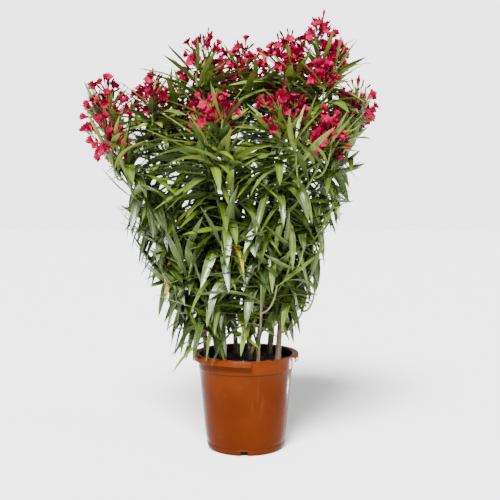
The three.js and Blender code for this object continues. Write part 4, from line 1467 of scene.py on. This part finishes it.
# %% The sprays of every flowering shoot
BLOSSOM_TOP = 0.985
BLOSSOM_SPACING = 11
BLOSSOM_SLOPES = [20, 48, 78]
HEAD_SPREAD = 1.14
TALL_SPREAD = 1.32
FLOWER_DEPTH = 24
LEVEL_RISE = 11
STALK_RADII = (1.5, 1.05)
SIDE_STALKS = 4
TALL_SIDE_STALKS = 5
SIDE_STALK_RADII = (1.0, 0.85)
SIDE_STALK_LENGTHS = (10, 22)
SIDE_FLOWER_CHANCE = 0.6
SIDE_FLOWER_CHANCE_ON_BUDS = 0.22
SIDE_HEADS_FROM = 4
SIDE_HEAD_LEVELS = 2
SIDE_HEAD_REACH = 0.72
SIDE_HEAD_BLOOMS = 4


# A stalk with a flower or a bud at its end, and shorter stalks on it with more of them
def add_branch(curve, share, angle, slope, reach, is_open, side_stalks, dice):
    outward = curve.square(share, angle)
    bearing = math.degrees(math.atan2(outward.y, outward.x)) + dice.spread(12)
    tilt = math.radians(slope + dice.spread(8))
    way = polar(bearing, math.cos(tilt), math.sin(tilt))
    root = curve.at(share)
    end = root + way * reach * dice.between(0.8, 1.3)
    middle = root.lerp(end, 0.5) + UP * dice.between(-1, 5)
    stalk = add_stalk(root, middle, end, *STALK_RADII, dice.roll())
    add = add_flower if is_open else add_bud
    add(end, way, dice)
    chance = SIDE_FLOWER_CHANCE if is_open else SIDE_FLOWER_CHANCE_ON_BUDS
    for number in range(side_stalks):
        fork = dice.between(0.35, 0.85)
        start = stalk.at(fork)
        about = math.radians(dice.between(0, 120) + number * 120)
        lean = (way + stalk.square(fork, about) * dice.between(0.55, 1.1)).normalized()
        tip = start + lean * dice.between(*SIDE_STALK_LENGTHS)
        bend = start.lerp(tip, 0.4) + way * 2
        add_stalk(start, bend, tip, *SIDE_STALK_RADII, dice.roll())
        add = add_flower if dice.roll() < chance else add_bud
        add(tip, lean, dice)


def add_head(curve, slopes, blooms, spread, side_stalks, dice):
    length = curve.length()
    for level, slope in enumerate(slopes):
        share = BLOSSOM_TOP - (len(slopes) - 1 - level) * BLOSSOM_SPACING / length
        reach = (BLOOM_REACH - FLOWER_DEPTH + level * LEVEL_RISE) * spread
        for side in range(3):
            angle = (level + 2 * side + 1) * math.pi / 3
            is_open = level * 3 + side < blooms
            add_branch(curve, share, angle, slope, reach, is_open, side_stalks, dice)


for shoot in grown:
    if shoot.kind != "flowering":
        continue
    dice = shoot.dice
    spread = TALL_SPREAD if shoot.tall else HEAD_SPREAD
    side_stalks = TALL_SIDE_STALKS if shoot.tall else SIDE_STALKS
    add_head(shoot.curve, BLOSSOM_SLOPES, shoot.blooms, spread, side_stalks, dice)
    if shoot.blooms < SIDE_HEADS_FROM:
        continue
    for side in shoot.sides[:2 if shoot.tall else 1]:
        slopes = BLOSSOM_SLOPES[-SIDE_HEAD_LEVELS:]
        add_head(side, slopes, SIDE_HEAD_BLOOMS, SIDE_HEAD_REACH, side_stalks, dice)
print("corners of buds", len(buds.corners))

# %% [markdown]
# Petals are deep rose red with a pale throat, and their lighter rim is a painted highlight. Buds
# are darker, almost wine red at the tip, and the calyx and stalks pass from green to a brownish red.


# %% The blossom's finishes
BLOSSOM_GLOSS = 0.08
BLOSSOM_SHARP = 60


def petal_finish(name, deep, light, throat, roughness):
    finish = Finish(name, roughness)
    along = finish.uv("Y")
    folds = finish.cloud(finish.place(), 160.0, 3.0)
    # Towards the outer end the colour passes to the lighter one: on the petals this is a painted
    # highlight at the rim
    share = finish.mask(along, 0.45, 1.0) * 0.35 + finish.tone() * 0.4
    share = share + finish.mask(folds, 0.4, 0.7) * 0.3
    skin = finish.blend(share, deep, light)
    finish.use("Base Color", finish.blend(1 - finish.mask(along, 0.0, 0.22), skin, throat))
    finish.use("Roughness", folds * 0.2 + (roughness - 0.1))
    finish.use("Specular IOR Level", BLOSSOM_GLOSS)
    finish.bump(folds, 0.4, 0.0008)
    return finish


PETAL_DEEP = colour(0.135, 0.0001, 0.011)
PETAL_PALE_AND_HIGHLIGHT = colour(0.34, 0.0004, 0.042)
PETAL_THROAT = colour(0.30, 0.016, 0.05)
BUD_DEEP = colour(0.040, 0.0008, 0.0045)
BUD_LIGHT = colour(0.15, 0.0006, 0.014)
CALYX_DARK = colour(0.055, 0.012, 0.008)
CALYX_LIGHT = colour(0.20, 0.085, 0.035)
STALK_GREEN = colour(0.105, 0.095, 0.018)
STALK_RED = colour(0.16, 0.040, 0.022)

rose = petal_finish("petal_rose", PETAL_DEEP, PETAL_PALE_AND_HIGHLIGHT, PETAL_THROAT, 0.55)
tubing = petal_finish("flower_tube", PETAL_THROAT, PETAL_PALE_AND_HIGHLIGHT, CALYX_LIGHT, 0.6)
wine = petal_finish("bud_wine", BUD_DEEP, BUD_LIGHT, CALYX_DARK, 0.45)
sepal = petal_finish("calyx", CALYX_DARK, CALYX_LIGHT, CALYX_LIGHT, 0.6)
stalk_skin = petal_finish("flower_stalk", STALK_GREEN, STALK_RED, STALK_GREEN, 0.55)
top_nodes = [node for node in foliage_nodes if "_top_" in node]
for gathering, name, finishes in (
    (petals["left"], "open_flowers_left", [rose, tubing]),
    (petals["right"], "open_flowers_right", [rose, tubing]),
    (buds, "flower_buds", [wine, sepal]),
    (stalks, "flower_stalks", [stalk_skin]),
):
    made = gathering.piece(name, finishes, BLOSSOM_SHARP)
    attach(made, "root")
    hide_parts(*top_nodes)

# %% [markdown]
# ## On the soil
# Crumbs of soil and bark lie loose on the bed, with a few pale grains, a white pebble, tan chips and
# one fallen yellow leaf near the front.

# %% Crumbs, grains and chips
CRUMB_COUNT = 620
CRUMB_SIZES = (1.0, 3.6)
CRUMB_REACH = 124
CRUMB_SHARP = 30
PALE_COUNT = 16
PALE_SIZES = (0.9, 1.7)
PALE_REACH = 118
PEBBLE = (89, -5)
PEBBLE_SIZE = 3.6
CHIPS = [(-7, -42), (-1, -47), (5, -44)]
CHIP_SIZE = 2.8
CRUMB_CORNERS = [
    Vector(corner)
    for corner in ((1, 0, 0), (0, 1, 0), (-1, 0, 0), (0, -1, 0), (0, 0, 0.8), (0, 0, -0.8))
]
CRUMB_FACES = [[0, 1, 4], [1, 2, 4], [2, 3, 4], [3, 0, 4], [1, 0, 5], [2, 1, 5], [3, 2, 5], [0, 3, 5]]


def on_soil(x, y, lift):
    return Vector((x, y, soil_height(x * MM, y * MM) / MM + lift))


def add_crumb(gathering, x, y, size, dice):
    spin = Matrix.Rotation(dice.between(*ALL_ROUND), 3, "Z")
    turn = spin @ Matrix.Rotation(dice.spread(0.8), 3, "X")
    uneven = dice.between(0.6, 1.4), dice.between(0.6, 1.2), dice.between(0.5, 1)
    place = on_soil(x, y, size * 0.25)
    corners = [place + turn @ (Matrix.Diagonal(uneven) @ corner) * size for corner in CRUMB_CORNERS]
    uvs = [(0.5, 0.5)] * len(corners)
    gathering.add(corners, CRUMB_FACES, uvs, dice.roll(), [0] * len(CRUMB_FACES))


def scatter(gathering, count, reach, sizes, dice):
    for _ in range(count):
        place = polar(dice.between(0, 360), reach * math.sqrt(dice.roll()), 0)
        add_crumb(gathering, place.x, place.y, dice.between(*sizes), dice)


crumbs = Gathering()
grains = Gathering()
dice = Dice(901)
scatter(crumbs, CRUMB_COUNT, CRUMB_REACH, CRUMB_SIZES, dice)
scatter(grains, PALE_COUNT, PALE_REACH, PALE_SIZES, dice)
add_crumb(grains, *PEBBLE, PEBBLE_SIZE, dice)
for chip in CHIPS:
    add_crumb(grains, *chip, CHIP_SIZE, dice)
print("crumbs", CRUMB_COUNT, "grains, pebbles and chips", PALE_COUNT + 1 + len(CHIPS))

# %% The grains' finish
GRAIN_TAN = colour(0.42, 0.30, 0.16)
GRAIN_WHITE = colour(0.75, 0.68, 0.55)

pale = Finish("pale_grain", 0.7)
spot = pale.place()
pale.use("Base Color", pale.blend(pale.cloud(spot, 200.0), GRAIN_TAN, GRAIN_WHITE))
pale.bump(pale.cloud(spot, 500.0), 0.4, 0.001)
for gathering, name, finish in ((crumbs, "soil_crumbs", earth), (grains, "pale_grains", pale)):
    made = gathering.piece(name, [finish], CRUMB_SHARP)
    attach(made, "root")

# %% The fallen leaf lies over the crumbs
FALLEN_PLACE = (15, 60)
FALLEN_LIFT = 2
fallen = Gathering()
lying = {
    "bearing": 1.2, "root": 0.75, "tip": 0.5, "ease": 1.5, "length": 52, "width": 12, "roll": 0.25,
    "twist": 0.5, "sweep": 0.12, "fold": 0.3, "wave": 0.05,
}
corners, uvs = leaf_corners(on_soil(*FALLEN_PLACE, FALLEN_LIFT), lying)
fallen.add(corners, LEAF_FACES, uvs, 0.5, LEAF_SIDES)
made = fallen.piece("fallen_leaf", [leaf_tops["yellow"], undersides["young"]], LEAF_SHARP)
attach(made, "root")

# %% [markdown]
# ## The studio
# The plant stands on a pale floor in a white room. A sun with a wide face, high on the left and in
# front, gives the pale glare on the leaves and a soft shadow to the right. The room looks white to
# the camera but lights the plant gently, so the shade between the leaves stays dark. A narrow fill
# lifts the right side of the pot, and a low strip behind it on the right draws the long highlight.


# %% The floor and the room
FLOOR_WHITE = colour(0.86, 0.86, 0.86)
FLOOR_SIZE = 30
FLOOR_LEVEL = -0.0005
ROOM_LIGHT = 0.85
ROOM_SEEN = 3.4

deselect()
bpy.ops.mesh.primitive_plane_add(size=FLOOR_SIZE, location=(0, 0, FLOOR_LEVEL))
floor = bpy.context.object
floor.name = "floor"
paint = Finish("floor_white", 0.9)
paint.use("Base Color", FLOOR_WHITE)
floor.data.materials.append(paint.material)

world = bpy.data.worlds.new("white_room")
world.use_nodes = True
backdrop = world.node_tree.nodes["Background"]
backdrop.inputs["Color"].default_value = colour(1, 1, 1)
looking = world.node_tree.nodes.new("ShaderNodeLightPath")
strength = world.node_tree.nodes.new("ShaderNodeMapRange")
strength.inputs["To Min"].default_value = ROOM_LIGHT
strength.inputs["To Max"].default_value = ROOM_SEEN
world.node_tree.links.new(looking.outputs["Is Camera Ray"], strength.inputs["Value"])
world.node_tree.links.new(strength.outputs["Result"], backdrop.inputs["Strength"])
bpy.context.scene.world = world
print("room", world.name, "floor", floor.name)

# %% The lights
KEY_FROM = (-0.5, -2.0, 3.0)
KEY_AIM = (0, 0, 0.6)
KEY_STRENGTH = 16
KEY_SOFTNESS = math.radians(24)


def aimed(light, place, aim):
    light.rotation_mode = "QUATERNION"
    light.rotation_quaternion = (Vector(aim) - Vector(place)).to_track_quat("-Z", "Y")


def soft_light(name, place, aim, width, height, power, spread):
    deselect()
    bpy.ops.object.light_add(type="AREA", location=place)
    light = bpy.context.object
    light.name = name
    light.data.shape = "RECTANGLE"
    light.data.size = width
    light.data.size_y = height
    light.data.energy = power
    light.data.spread = math.radians(spread)
    aimed(light, place, aim)


deselect()
bpy.ops.object.light_add(type="SUN", location=KEY_FROM)
key = bpy.context.object
key.name = "key"
key.data.energy = KEY_STRENGTH
key.data.angle = KEY_SOFTNESS
aimed(key, KEY_FROM, KEY_AIM)
soft_light("fill", (2.1, -1.1, 0.7), (0, 0, 0.12), 0.7, 0.7, 1.1, 26)
soft_light("strip", (0.475, 0.375, 0.1), (0, 0, 0.2), 0.05, 0.2, 0.55, 30)
print("lights", [item.name for item in bpy.context.scene.objects if item.type == "LIGHT"])
